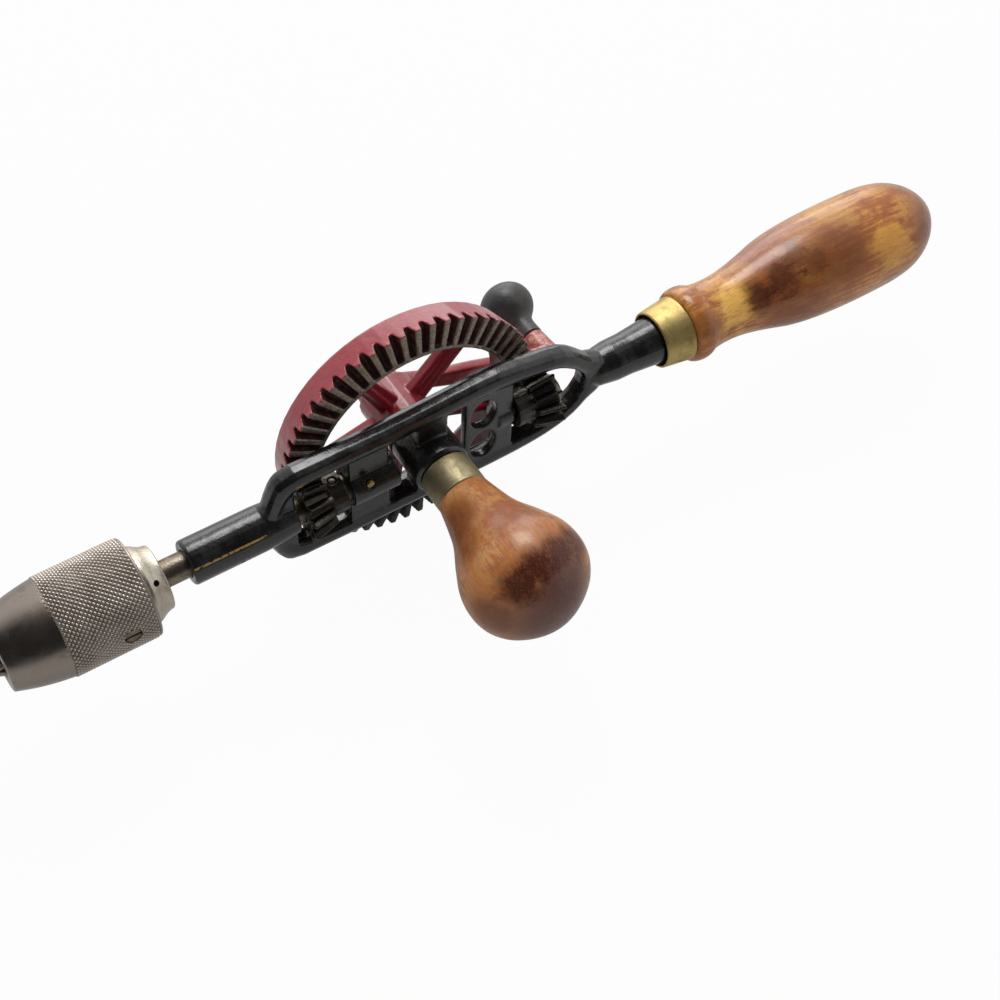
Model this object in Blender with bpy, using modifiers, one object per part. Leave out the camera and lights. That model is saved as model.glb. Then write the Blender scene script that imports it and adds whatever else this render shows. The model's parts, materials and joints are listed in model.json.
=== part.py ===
"""Open-frame hand drill: a cranked bevel gear drives two pinions between cast rails.

Tool axes: X runs along the spindle from the chuck (-X) to the main handle (+X), Y along the gear
axis from the side knob (-Y) to the crank (+Y), and Z up. Both axes cross at the tool's centre.
Stations are places along X or Y, measured from that centre.
"""
import math

import bmesh
import bpy
from mathutils import Matrix, Vector

MM = 0.001
FULL_TURN = 2.0 * math.pi
MERGE = 0.01 * MM        # distance under which a turned profile's ends are one point
CAP_SLOPE = 0.999        # how squarely a flat outline's caps face its thickness
GAP = 0.3 * MM           # clearance that neighbouring pieces keep
OVERRUN = 1.5 * MM       # how far a cutter runs past what it cuts

# Gears
WHEEL_TEETH = 54
PINION_TEETH = 12
PITCH_RADIUS = 46.0 * MM         # of the wheel, at the outer ends of its teeth
TOOTH_LENGTH = 9.0 * MM          # along the wheel's radius
TOOTH_TIP_SHARES = (0.90, 0.40)  # addendum and its clearance, in modules
SLOT_ROOT_SHARE = 0.24           # width of a wheel slot's floor, in tooth pitches
SLOT_PITCH_SHARE = 0.48          # width of a wheel slot at the pitch line
PINION_TOOTH_SHARE = 0.40        # thickness of a pinion tooth at the pitch line, in tooth pitches
PRESSURE_ANGLE = math.radians(20.0)
PINION_HUB_LENGTH = 5.6 * MM

# Gear wheel
RIM_DEPTH = 10.6 * MM            # behind the pitch line
RIM_LIP = 0.5 * MM               # of the rim outside the teeth
RIM_ROUND = 1.6 * MM
RIM_INNER_SHARE = 0.96           # of the teeth's inner radius, at the rim's back
LEDGE_WIDTH = 1.0 * MM           # of the ledge that closes the slots' inner ends
RIM_SETBACK = 2.0 * MM           # of the rim's inner edge in front of its back
SPOKE_COUNT = 5
SPOKE_FIRST_ANGLE = math.radians(48.0)
SPOKE_FACE = 15.2 * MM           # station of the spokes' front
SPOKE_THICKNESS = 4.2 * MM
SPOKE_WIDTH_HUB = 7.8 * MM
SPOKE_WIDTH_RIM = 5.4 * MM
SPOKE_RIB_WIDTH = 2.6 * MM
SPOKE_RIB_HEIGHT = 2.2 * MM
SPOKE_BEVEL = 0.8 * MM
WHEEL_HUB_RADIUS = 9.8 * MM
WHEEL_HUB_END = 26.8 * MM        # station where the hub meets the crank
HUB_ROUND = 1.0 * MM

# Gear axle
AXLE_RADIUS = 3.5 * MM
AXLE_ROOT = 3.0 * MM             # how far the axle reaches past the centre, towards the side knob
AXLE_HEAD_RADIUS = 5.8 * MM
AXLE_HEAD_HEIGHT = 2.6 * MM
AXLE_SLOT_WIDTH = 1.2 * MM
AXLE_SLOT_DEPTH = 1.3 * MM
WASHER_RADIUS = 7.0 * MM
WASHER_THICKNESS = 1.0 * MM

# Crank
CRANK_RADIUS = 71.5 * MM
CRANK_ANGLE = math.radians(-20.5)
CRANK_THICKNESS = 4.0 * MM
CRANK_HUB_RADIUS = 8.2 * MM
CRANK_END_RADIUS = 5.2 * MM
CRANK_WAIST_SHARES = (0.62, 0.80)    # half width near the hub and near the end, in those radii
CRANK_BEVEL = 1.0 * MM
CRANK_HUB_BOSS = 1.6 * MM            # rise of the hub boss over the arm
SQUARE_WIDTH = 9.6 * MM              # of the wheel hub's square end, which drives the arm
KNOB_BOSS_RADIUS = 4.3 * MM
KNOB_BOSS_RISE = 8.0 * MM
KNOB_LENGTH = 24.8 * MM
KNOB_HEAD_RADIUS = 9.9 * MM
KNOB_NECK_RADIUS = 4.4 * MM
KNOB_PIN_RADIUS = 1.6 * MM
KNOB_PIN_HEAD_RADIUS = 3.0 * MM
KNOB_PIN_HEAD_HEIGHT = 1.2 * MM

# Frame casting, in stations along X and heights along Z
TUBE_LENGTH = 25.0 * MM          # from its front to the rails
TUBE_RADIUS = 7.4 * MM
TUBE_LIP = 0.6 * MM
SHOULDER_LENGTH = 11.5 * MM      # where the tube widens into the rails
PINION_ROOM = 2.5 * MM           # in front of the spindle pinion's teeth
BLOCK_ROOM = 1.9 * MM            # behind the spindle pinion's hub
BLOCK_LENGTH = 14.0 * MM         # of the bearing block behind the spindle pinion
BAR_ROOM = 0.8 * MM              # in front of the idler's hub
BAR_WIDTH = 5.6 * MM             # of the cross bar that carries the idler
IDLER_ROOM = 12.5 * MM           # behind the idler's teeth
CROTCH_LENGTH = 5.0 * MM         # from the rear window to the neck
RAIL_DEPTH = 8.0 * MM            # along Y
RAIL_ROUND = 2.6 * MM
RAIL_THICKNESS = 6.5 * MM
RAIL_ROOM = 2.6 * MM             # between the rails and the pinions' teeth
PANEL_INSET = 1.0 * MM           # of the panels between the rails, from the rails' sides
BARREL_RADIUS = 6.8 * MM         # round the spindle, through the bearing block
BARREL_LAP = 2.4 * MM            # of that barrel, behind the block
BAR_BOSS_RADIUS = 4.4 * MM       # round the idler's stud
RAIL_TOP_BOW = 2.4 * MM          # how much higher the top rail stands behind the centre
NECK_LENGTH = 26.5 * MM
NECK_RADIUS = 7.1 * MM
NECK_END_RADIUS = 8.2 * MM
TANG_RADIUS = 4.6 * MM
TANG_LENGTH = 48.0 * MM
BOSS_RADIUS = 9.6 * MM
BOSS_FRONT = 10.6 * MM           # towards the side knob
BOSS_REAR = 6.4 * MM             # towards the wheel
STRAP_WIDTH = 11.0 * MM
STRAP_DEPTH = 7.4 * MM
WEB_FRONT = 12.6 * MM
WEB_THICKNESS = 3.2 * MM
WEB_HOLE_INSET = 5.5 * MM        # of the oval holes, from the cross bar
WEB_HOLE_HEIGHT = 7.5 * MM
WEB_HOLE_RADII = (4.9 * MM, 6.5 * MM)
OIL_HOLE_RADIUS = 0.9 * MM
OIL_HOLE_INSET = 9.0 * MM        # from the tube's rear end
OIL_HOLE_ANGLE = math.radians(205.0)

# Spindle, its bearings and the idler stud
SPINDLE_SHARE = 0.43             # of its radius in the pinion's pitch radius
SPINDLE_CHAMFER = 0.5 * MM
BALL_RADIUS = 2.2 * MM
PLUG_LENGTH = 4.0 * MM
PLUG_SLOT_WIDTH = 1.0 * MM
PLUG_SLOT_DEPTH = 1.2 * MM
PINION_PIN_RADIUS = 1.2 * MM
BEARING_PIN_RADIUS = 1.3 * MM
BEARING_PIN_LENGTH = 1.2 * MM
BEARING_PIN_INSET = 5.8 * MM     # from the block's front
BEARING_PIN_HEIGHT = 3.8 * MM
BEARING_PIN_REACH = 6.0 * MM     # of its outer end, from the spindle's axis
STUD_RADIUS = 2.4 * MM
STUD_HEAD_RADIUS = 5.4 * MM
STUD_HEAD_HEIGHT = 3.0 * MM

# Chuck
SPINDLE_SHOWN = 8.6 * MM         # between the tube and the chuck's collar
COLLAR_LENGTH = 6.9 * MM         # behind the sleeve
SLEEVE_RADIUS = 16.3 * MM
SLEEVE_EDGE = 0.5 * MM
KNURL_LENGTH = 28.1 * MM
NOSE_LENGTH = 17.4 * MM
NOSE_RADIUS = 12.2 * MM
NOSE_MID_RADIUS = 14.7 * MM
NOSE_MID_SHARE = 0.55            # of the nose's length, where its middle radius is
NOSE_EDGE = 0.5 * MM
MOUTH_RADIUS = 7.8 * MM
MOUTH_LENGTH = 2.5 * MM
CORE_RADIUS = 12.6 * MM
CORE_LENGTH = 20.5 * MM          # of the core inside the sleeve
COLLAR_REAR_RADIUS = 10.2 * MM
COLLAR_WAIST_RADIUS = 10.7 * MM
COLLAR_WAIST_INSET = 1.8 * MM    # from the collar's rear face
RECESS_RADIUS = 9.6 * MM
RECESS_INSET = 7.0 * MM          # of the jaw recess's floor, from the sleeve's rear
SPINDLE_GRIP = 3.5 * MM          # of the spindle inside the sleeve's rear
TOMMY_RADIUS = 1.0 * MM
TOMMY_DEPTH = 4.0 * MM
TOMMY_INSET = 3.6 * MM           # from the collar's rear face
TOMMY_ANGLE = math.radians(131.0)
GRUB_RADIUS = 2.5 * MM
GRUB_INSET = 9.1 * MM            # from the sleeve's rear
GRUB_ANGLE = math.radians(175.0)
GRUB_SLOT_WIDTH = 0.7 * MM
GRUB_SLOT_DEPTH = 0.8 * MM
JAW_COUNT = 3
JAW_REACH = 4.5 * MM             # of the tips in front of the nose
JAW_TIP_RADIUS = 5.2 * MM
JAW_INSET = 11.5 * MM            # of the jaws' tails, from the sleeve's rear
JAW_TAIL_RADIUS = 6.6 * MM
JAW_TAIL_LENGTH = 19.8 * MM
JAW_OPENING = 3.4 * MM           # from the axis to a gripping face, at rest
JAW_LAND = 0.6 * MM              # half width of a gripping face
JAW_MOUTH_GAP = 0.9 * MM         # room for the jaws to open in the sleeve's mouth
JAW_HALF_WIDTH = 3.2 * MM

# Main handle
FERRULE_LENGTH = 11.0 * MM
FERRULE_LAP = 2.5 * MM           # over the neck
FERRULE_RADII = (10.0 * MM, 11.4 * MM)
FERRULE_WALL = 0.8 * MM
FERRULE_EDGE = 0.4 * MM
HANDLE_SEAT = 1.0 * MM           # behind the neck's end
HANDLE_LENGTH = 115.6 * MM
HANDLE_RADIUS = 18.0 * MM
BEAD_RADIUS = 13.2 * MM
HANDLE_NECK_RADIUS = 11.2 * MM
TANG_ROOM = 2.0 * MM             # behind the tang, in its bore

# Side knob
SIDE_FERRULE_GAP = 0.4 * MM      # from the boss
SIDE_FERRULE_LENGTH = 11.2 * MM
SIDE_FERRULE_RADIUS = 8.8 * MM
SIDE_SPIGOT_INSET = 1.6 * MM     # from the ferrule's front
SIDE_KNOB_LENGTH = 54.0 * MM     # behind the ferrule
SIDE_KNOB_RADIUS = 20.5 * MM
SIDE_NECK_RADIUS = 9.1 * MM
SIDE_STUD_REACH = 29.8 * MM      # past the ferrule, into the knob
SIDE_STUD_RADIUS = 3.5 * MM

# Numbers of facets round a turned piece
FINE_STEPS = 32
ROUND_STEPS = 28
SMALL_STEPS = 20
PIN_STEPS = 12
OUTLINE_STEPS = 2        # between two points of a flat outline

# Worked out from the sizes above
RATIO = WHEEL_TEETH / PINION_TEETH
MODULE = 2.0 * PITCH_RADIUS / WHEEL_TEETH
TOOTH_PITCH = math.pi * MODULE
ADDENDUM = TOOTH_TIP_SHARES[0] * MODULE
DEDENDUM = (TOOTH_TIP_SHARES[0] + TOOTH_TIP_SHARES[1]) * MODULE
PITCH_FACE = PITCH_RADIUS / RATIO
SPINDLE_RADIUS = SPINDLE_SHARE * PITCH_FACE
INNER_RADIUS = PITCH_RADIUS - TOOTH_LENGTH
INNER_SHARE = INNER_RADIUS / PITCH_RADIUS
RIM_BACK = PITCH_FACE + RIM_DEPTH
WHEEL_OUTER = PITCH_RADIUS + RIM_LIP
WHEEL_HUB_FACE = BOSS_REAR + GAP
CRANK_FACE = WHEEL_HUB_END + GAP
CRANK_HUB_TOP = CRANK_FACE + CRANK_THICKNESS + CRANK_HUB_BOSS
KNOB_FACE = CRANK_FACE + CRANK_THICKNESS + KNOB_BOSS_RISE
KNOB_X = CRANK_RADIUS * math.cos(CRANK_ANGLE)
KNOB_Z = CRANK_RADIUS * math.sin(CRANK_ANGLE)
TIP_FACE = PITCH_FACE - ADDENDUM
LEDGE_FACE = TIP_FACE * INNER_SHARE
PINION_HUB_RADIUS = LEDGE_FACE - GAP
PINION_BACK = INNER_RADIUS - PINION_HUB_LENGTH
WINDOW_FRONT = -(PITCH_RADIUS + PINION_ROOM)
BLOCK_FRONT = -(PINION_BACK - BLOCK_ROOM)
BLOCK_REAR = BLOCK_FRONT + BLOCK_LENGTH
BAR_REAR = PINION_BACK - BAR_ROOM
BAR_FRONT = BAR_REAR - BAR_WIDTH
WINDOW_REAR = PITCH_RADIUS + IDLER_ROOM
RAIL_TOP = PITCH_FACE + ADDENDUM + RAIL_ROOM + RAIL_THICKNESS
RAIL_BOTTOM = -RAIL_TOP
TOP_INNER = RAIL_TOP - RAIL_THICKNESS
TUBE_END = WINDOW_FRONT - SHOULDER_LENGTH
TUBE_FRONT = TUBE_END - TUBE_LENGTH
NECK_START = WINDOW_REAR + CROTCH_LENGTH
NECK_END = NECK_START + NECK_LENGTH
TANG_END = NECK_END + TANG_LENGTH
BARREL_REAR = BLOCK_REAR + BARREL_LAP
PLUG_REAR = BARREL_REAR + GAP
BALL_STATION = PLUG_REAR - PLUG_LENGTH - GAP - BALL_RADIUS
SPINDLE_END = BALL_STATION - BALL_RADIUS - GAP
SPINDLE_BORE = SPINDLE_RADIUS + GAP
STUD_SEAT = BAR_FRONT + PANEL_INSET
STUD_END = PITCH_RADIUS + GAP
HALF_RAIL = RAIL_DEPTH / 2.0
HALF_PANEL = HALF_RAIL - PANEL_INSET
COLLAR_REAR = TUBE_FRONT - SPINDLE_SHOWN
COLLAR_WAIST = COLLAR_REAR - COLLAR_WAIST_INSET
SLEEVE_REAR = COLLAR_REAR - COLLAR_LENGTH
KNURL_FRONT = SLEEVE_REAR - KNURL_LENGTH
NOSE_FRONT = KNURL_FRONT - NOSE_LENGTH
CORE_FRONT = SLEEVE_REAR - CORE_LENGTH
RECESS_END = SLEEVE_REAR - RECESS_INSET
SPINDLE_SEAT = SLEEVE_REAR - SPINDLE_GRIP
GRUB_STATION = SLEEVE_REAR - GRUB_INSET
JAW_TIP = NOSE_FRONT - JAW_REACH
JAW_REAR = SLEEVE_REAR - JAW_INSET
JAW_SHOULDER = JAW_REAR - JAW_TAIL_LENGTH
SLEEVE_BORE = CORE_RADIUS + GAP
CONE_REAR = CORE_FRONT - OVERRUN
CONE_FRONT = NOSE_FRONT + MOUTH_LENGTH
FERRULE_FRONT = NECK_END - FERRULE_LAP
FERRULE_REAR = FERRULE_FRONT + FERRULE_LENGTH
HANDLE_FRONT = NECK_END + HANDLE_SEAT
HANDLE_END = HANDLE_FRONT + HANDLE_LENGTH
TANG_BORE_END = TANG_END + TANG_ROOM
SIDE_FERRULE_FRONT = BOSS_FRONT + SIDE_FERRULE_GAP
SIDE_FERRULE_REAR = SIDE_FERRULE_FRONT + SIDE_FERRULE_LENGTH
SIDE_SPIGOT_FRONT = SIDE_FERRULE_FRONT + SIDE_SPIGOT_INSET
SIDE_KNOB_END = SIDE_FERRULE_REAR + SIDE_KNOB_LENGTH
SIDE_STUD_END = SIDE_FERRULE_REAR + SIDE_STUD_REACH
TOOL_ORIGIN = Vector((-(JAW_TIP + HANDLE_END) / 2.0,
                      -(KNOB_FACE + GAP + KNOB_LENGTH - SIDE_KNOB_END) / 2.0,
                      WHEEL_OUTER))

ALONG_X = Matrix.Rotation(math.radians(90.0), 4, 'Y')
ALONG_Y = Matrix.Rotation(math.radians(-90.0), 4, 'X')
PLATE_IN_XZ = Matrix.Rotation(math.radians(90.0), 4, 'X')


def new_collection(name):
    """Make a collection in the scene."""
    collection = bpy.data.collections.new(name)
    bpy.context.scene.collection.children.link(collection)
    return collection


def new_material(name, color, roughness, metallic):
    """Make a Principled material."""
    material = bpy.data.materials.new(name)
    material.use_nodes = True
    shader = material.node_tree.nodes["Principled BSDF"]
    shader.inputs["Base Color"].default_value = (*color, 1.0)
    shader.inputs["Roughness"].default_value = roughness
    shader.inputs["Metallic"].default_value = metallic
    material.diffuse_color = (*color, 1.0)
    return material


def clear_scene():
    """Remove every object that is already there."""
    for item in list(bpy.data.objects):
        bpy.data.objects.remove(item, do_unlink=True)


clear_scene()
PARTS = new_collection("hand_drill")
CUTTERS = new_collection("cutters")


def add_empty(name, location, parent=None):
    """Add an empty that carries the pieces of one axis."""
    empty = bpy.data.objects.new(name, None)
    PARTS.objects.link(empty)
    empty.parent = parent
    empty.location = location
    return empty


def add_object(name, mesh, parent, rotation=None, offset=None, helper=False):
    """Add an object under a parent, turned from its own axis to the tool's."""
    item = bpy.data.objects.new(name, mesh)
    (CUTTERS if helper else PARTS).objects.link(item)
    item.parent = parent
    item.matrix_local = Matrix.Translation(offset or Vector()) @ (rotation or Matrix())
    if helper:
        item.hide_render = True
        item.display_type = 'WIRE'
    return item


def finish(item, material, angle=35.0):
    """Give a piece its material and smooth shading."""
    item.data.materials.clear()
    item.data.materials.append(material)
    item.data.shade_smooth()
    item.data.set_sharp_from_angle(angle=math.radians(angle))
    return item


def combine(item, forms, operation='DIFFERENCE'):
    """Cut a piece with helper forms, or join them to it, in one exact Boolean."""
    group = bpy.data.collections.new("%s_%s" % (item.name, operation.lower()))
    CUTTERS.children.link(group)
    for form in forms:
        if form.name not in group.objects:
            group.objects.link(form)
    modifier = item.modifiers.new(group.name, 'BOOLEAN')
    modifier.operation = operation
    modifier.solver = 'EXACT'
    modifier.operand_type = 'COLLECTION'
    modifier.collection = group


def turned(name, outer, parent, rotation, steps=ROUND_STEPS, inner=None, offset=None, helper=False):
    """Turn a profile of (station, radius) points; an inner profile leaves a bore."""
    ring = [Vector((radius, 0.0, station)) for station, radius in reversed(outer)]
    if inner:
        ring += [Vector((radius, 0.0, station)) for station, radius in inner]
    work = bmesh.new()
    points = [work.verts.new(point) for point in ring]
    for first, second in zip(points, points[1:]):
        work.edges.new((first, second))
    if inner:
        work.edges.new((points[-1], points[0]))
    mesh = bpy.data.meshes.new(name)
    work.to_mesh(mesh)
    work.free()
    item = add_object(name, mesh, parent, rotation, offset, helper)
    screw = item.modifiers.new("turn", 'SCREW')
    screw.axis = 'Z'
    screw.angle = FULL_TURN
    screw.steps = steps
    screw.render_steps = steps
    screw.use_merge_vertices = True
    screw.merge_threshold = MERGE
    return item


def rod(name, start, end, radius, parent, rotation, steps=SMALL_STEPS, offset=None, helper=True):
    """A plain turned rod between two stations."""
    outer = [(start, 0.0), (start, radius), (end, radius), (end, 0.0)]
    return turned(name, outer, parent, rotation, steps, offset=offset, helper=helper)


def block(name, low, high, parent, rotation=None, offset=None):
    """A helper box between two corners."""
    work = bmesh.new()
    bmesh.ops.create_cube(work, size=1.0)
    size = Vector(high) - Vector(low)
    centre = (Vector(high) + Vector(low)) / 2.0
    bmesh.ops.scale(work, vec=size, verts=work.verts)
    bmesh.ops.translate(work, vec=centre, verts=work.verts)
    mesh = bpy.data.meshes.new(name)
    work.to_mesh(mesh)
    work.free()
    return add_object(name, mesh, parent, rotation, offset, helper=True)


def curve_mesh(name, curve, parent, rotation, offset=None, helper=False):
    """Turn a filled curve into a welded mesh object, and remove the curve."""
    draft = bpy.data.objects.new(name + "_curve", curve)
    CUTTERS.objects.link(draft)
    bpy.context.view_layer.update()
    evaluated = draft.evaluated_get(bpy.context.evaluated_depsgraph_get())
    mesh = bpy.data.meshes.new_from_object(evaluated)
    bpy.data.objects.remove(draft, do_unlink=True)
    work = bmesh.new()
    work.from_mesh(mesh)
    bmesh.ops.remove_doubles(work, verts=work.verts, dist=MERGE)
    bmesh.ops.recalc_face_normals(work, faces=work.faces)
    inside_caps = [edge for edge in work.edges
                   if all(abs(face.normal.z) > CAP_SLOPE for face in edge.link_faces)]
    bmesh.ops.dissolve_edges(work, edges=inside_caps, use_verts=False)
    work.to_mesh(mesh)
    work.free()
    return add_object(name, mesh, parent, rotation, offset, helper)


def flat_outline(name, points, depth, parent, rotation, offset=None, helper=False):
    """A plate of even depth from one smooth closed outline."""
    curve = bpy.data.curves.new(name, 'CURVE')
    curve.dimensions = '2D'
    curve.fill_mode = 'BOTH'
    curve.extrude = depth / 2.0
    curve.resolution_u = OUTLINE_STEPS
    spline = curve.splines.new('BEZIER')
    spline.bezier_points.add(len(points) - 1)
    spline.use_cyclic_u = True
    for knot, (across, up) in zip(spline.bezier_points, points):
        knot.co = (across, up, 0.0)
        knot.handle_left_type = 'AUTO'
        knot.handle_right_type = 'AUTO'
    return curve_mesh(name, curve, parent, rotation, offset, helper)


def round_edges(item, width, segments=2):
    """Round the square edges of a cast piece."""
    rounding = item.modifiers.new("round", 'BEVEL')
    rounding.width = width
    rounding.segments = segments
    rounding.limit_method = 'ANGLE'
    rounding.angle_limit = math.radians(55.0)


def build_materials():
    """The finishes that the photograph shows."""
    return {
        "japan": new_material("black_japan", (0.025, 0.026, 0.028), 0.35, 0.0),
        "red": new_material("red_enamel", (0.42, 0.03, 0.045), 0.38, 0.0),
        "steel": new_material("worn_steel", (0.34, 0.32, 0.30), 0.38, 1.0),
        "nickel": new_material("worn_nickel", (0.55, 0.51, 0.45), 0.34, 1.0),
        "brass": new_material("aged_brass", (0.60, 0.47, 0.23), 0.32, 1.0),
        "wood": new_material("varnished_beech", (0.48, 0.19, 0.06), 0.30, 0.0),
    }


def rail_outline():
    """Outer edge of the frame, from the tube round both rails and the neck."""
    shoulder = TUBE_END - WINDOW_FRONT
    bow = RAIL_TOP_BOW
    root = TUBE_RADIUS - RAIL_ROUND
    fork = NECK_START - BAR_REAR
    top = [
        (TUBE_END, root),
        (TUBE_END - 0.18 * shoulder, 0.42 * RAIL_TOP),
        (TUBE_END - 0.42 * shoulder, 0.76 * RAIL_TOP),
        (TUBE_END - 0.70 * shoulder, 0.94 * RAIL_TOP),
        (WINDOW_FRONT + RAIL_THICKNESS, RAIL_TOP),
        (BLOCK_REAR, RAIL_TOP + 0.05 * bow),
        (BOSS_RADIUS, RAIL_TOP + 0.60 * bow),
        (BAR_FRONT, RAIL_TOP + 0.80 * bow),
        (BAR_REAR + 0.32 * fork, RAIL_TOP - 0.30 * bow),
        (BAR_REAR + 0.60 * fork, 0.87 * RAIL_TOP),
        (BAR_REAR + 0.80 * fork, 0.63 * RAIL_TOP),
        (BAR_REAR + 0.93 * fork, 0.42 * RAIL_TOP),
        (NECK_START + 0.10 * fork, 0.78 * NECK_RADIUS),
    ]
    bottom = [
        (NECK_START + 0.10 * fork, -0.78 * NECK_RADIUS),
        (BAR_REAR + 0.91 * fork, 0.49 * RAIL_BOTTOM),
        (BAR_REAR + 0.77 * fork, 0.69 * RAIL_BOTTOM),
        (BAR_REAR + 0.55 * fork, 0.85 * RAIL_BOTTOM),
        (BAR_REAR + 0.25 * fork, 0.95 * RAIL_BOTTOM),
        (BAR_FRONT, 0.99 * RAIL_BOTTOM),
        (BLOCK_REAR, RAIL_BOTTOM),
        (WINDOW_FRONT + RAIL_THICKNESS, RAIL_BOTTOM),
        (TUBE_END - 0.70 * shoulder, 0.94 * RAIL_BOTTOM),
        (TUBE_END - 0.42 * shoulder, 0.76 * RAIL_BOTTOM),
        (TUBE_END - 0.18 * shoulder, 0.42 * RAIL_BOTTOM),
        (TUBE_END, -root),
    ]
    return top + bottom


def opening_outline():
    """Inner edge of the rails, from the flare behind the tube to the fork."""
    bow = RAIL_TOP_BOW
    nose = TUBE_END + RAIL_THICKNESS
    fork = WINDOW_REAR - BAR_REAR
    flare = [(nose, 0.27), (nose + 0.10 * SHOULDER_LENGTH, 0.58), (nose + 0.27 * SHOULDER_LENGTH, 0.815),
             (nose + 0.56 * SHOULDER_LENGTH, 0.955), (nose + SHOULDER_LENGTH, 1.0)]
    top = [(station, share * TOP_INNER) for station, share in flare]
    top += [
        (BLOCK_REAR, TOP_INNER + 0.05 * bow), (BOSS_RADIUS, TOP_INNER + 0.50 * bow),
        (BAR_FRONT, TOP_INNER + 0.70 * bow), (BAR_REAR + 0.40 * fork, TOP_INNER - 0.30 * bow),
        (BAR_REAR + 0.55 * fork, 0.90 * TOP_INNER), (BAR_REAR + 0.70 * fork, 0.75 * TOP_INNER),
        (BAR_REAR + 0.90 * fork, 0.41 * TOP_INNER), (WINDOW_REAR, 0.06 * TOP_INNER),
    ]
    bottom = [(BAR_REAR + 0.91 * fork, 0.48), (BAR_REAR + 0.74 * fork, 0.72),
              (BAR_REAR + 0.52 * fork, 0.90), (BAR_REAR + 0.25 * fork, 0.985), (BLOCK_REAR, 1.0)]
    bottom += flare[::-1]
    return top + [(station, -share * TOP_INNER) for station, share in bottom]


def panel(name, front, rear, face, thickness, parent):
    """A helper plate that joins the rails between two stations; face is its side towards -Y."""
    reach = TOP_INNER + RAIL_THICKNESS / 2.0
    return block(name, (front, -face, -reach), (rear, thickness - face, reach), parent)


def flare_panel(parent):
    """The plate that closes the flare behind the tube."""
    lap = 0.4 * RAIL_THICKNESS
    nose = TUBE_END + RAIL_THICKNESS - lap
    half = [(nose, 0.27 * TOP_INNER), (nose + 0.10 * SHOULDER_LENGTH, 0.58 * TOP_INNER + lap),
            (nose + 0.27 * SHOULDER_LENGTH, 0.815 * TOP_INNER + lap),
            (WINDOW_FRONT, 0.955 * TOP_INNER + lap)]
    outline = half + [(station, -height) for station, height in half[::-1]]
    work = bmesh.new()
    rings = [[work.verts.new((station, side * HALF_PANEL, height)) for station, height in outline]
             for side in (-1.0, 1.0)]
    near, far = rings
    work.faces.new(near)
    work.faces.new(far[::-1])
    for corner in range(len(outline)):
        work.faces.new((near[corner - 1], near[corner], far[corner], far[corner - 1]))
    bmesh.ops.recalc_face_normals(work, faces=work.faces)
    mesh = bpy.data.meshes.new("flare_form")
    work.to_mesh(mesh)
    work.free()
    return add_object("flare_form", mesh, parent, helper=True)


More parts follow.
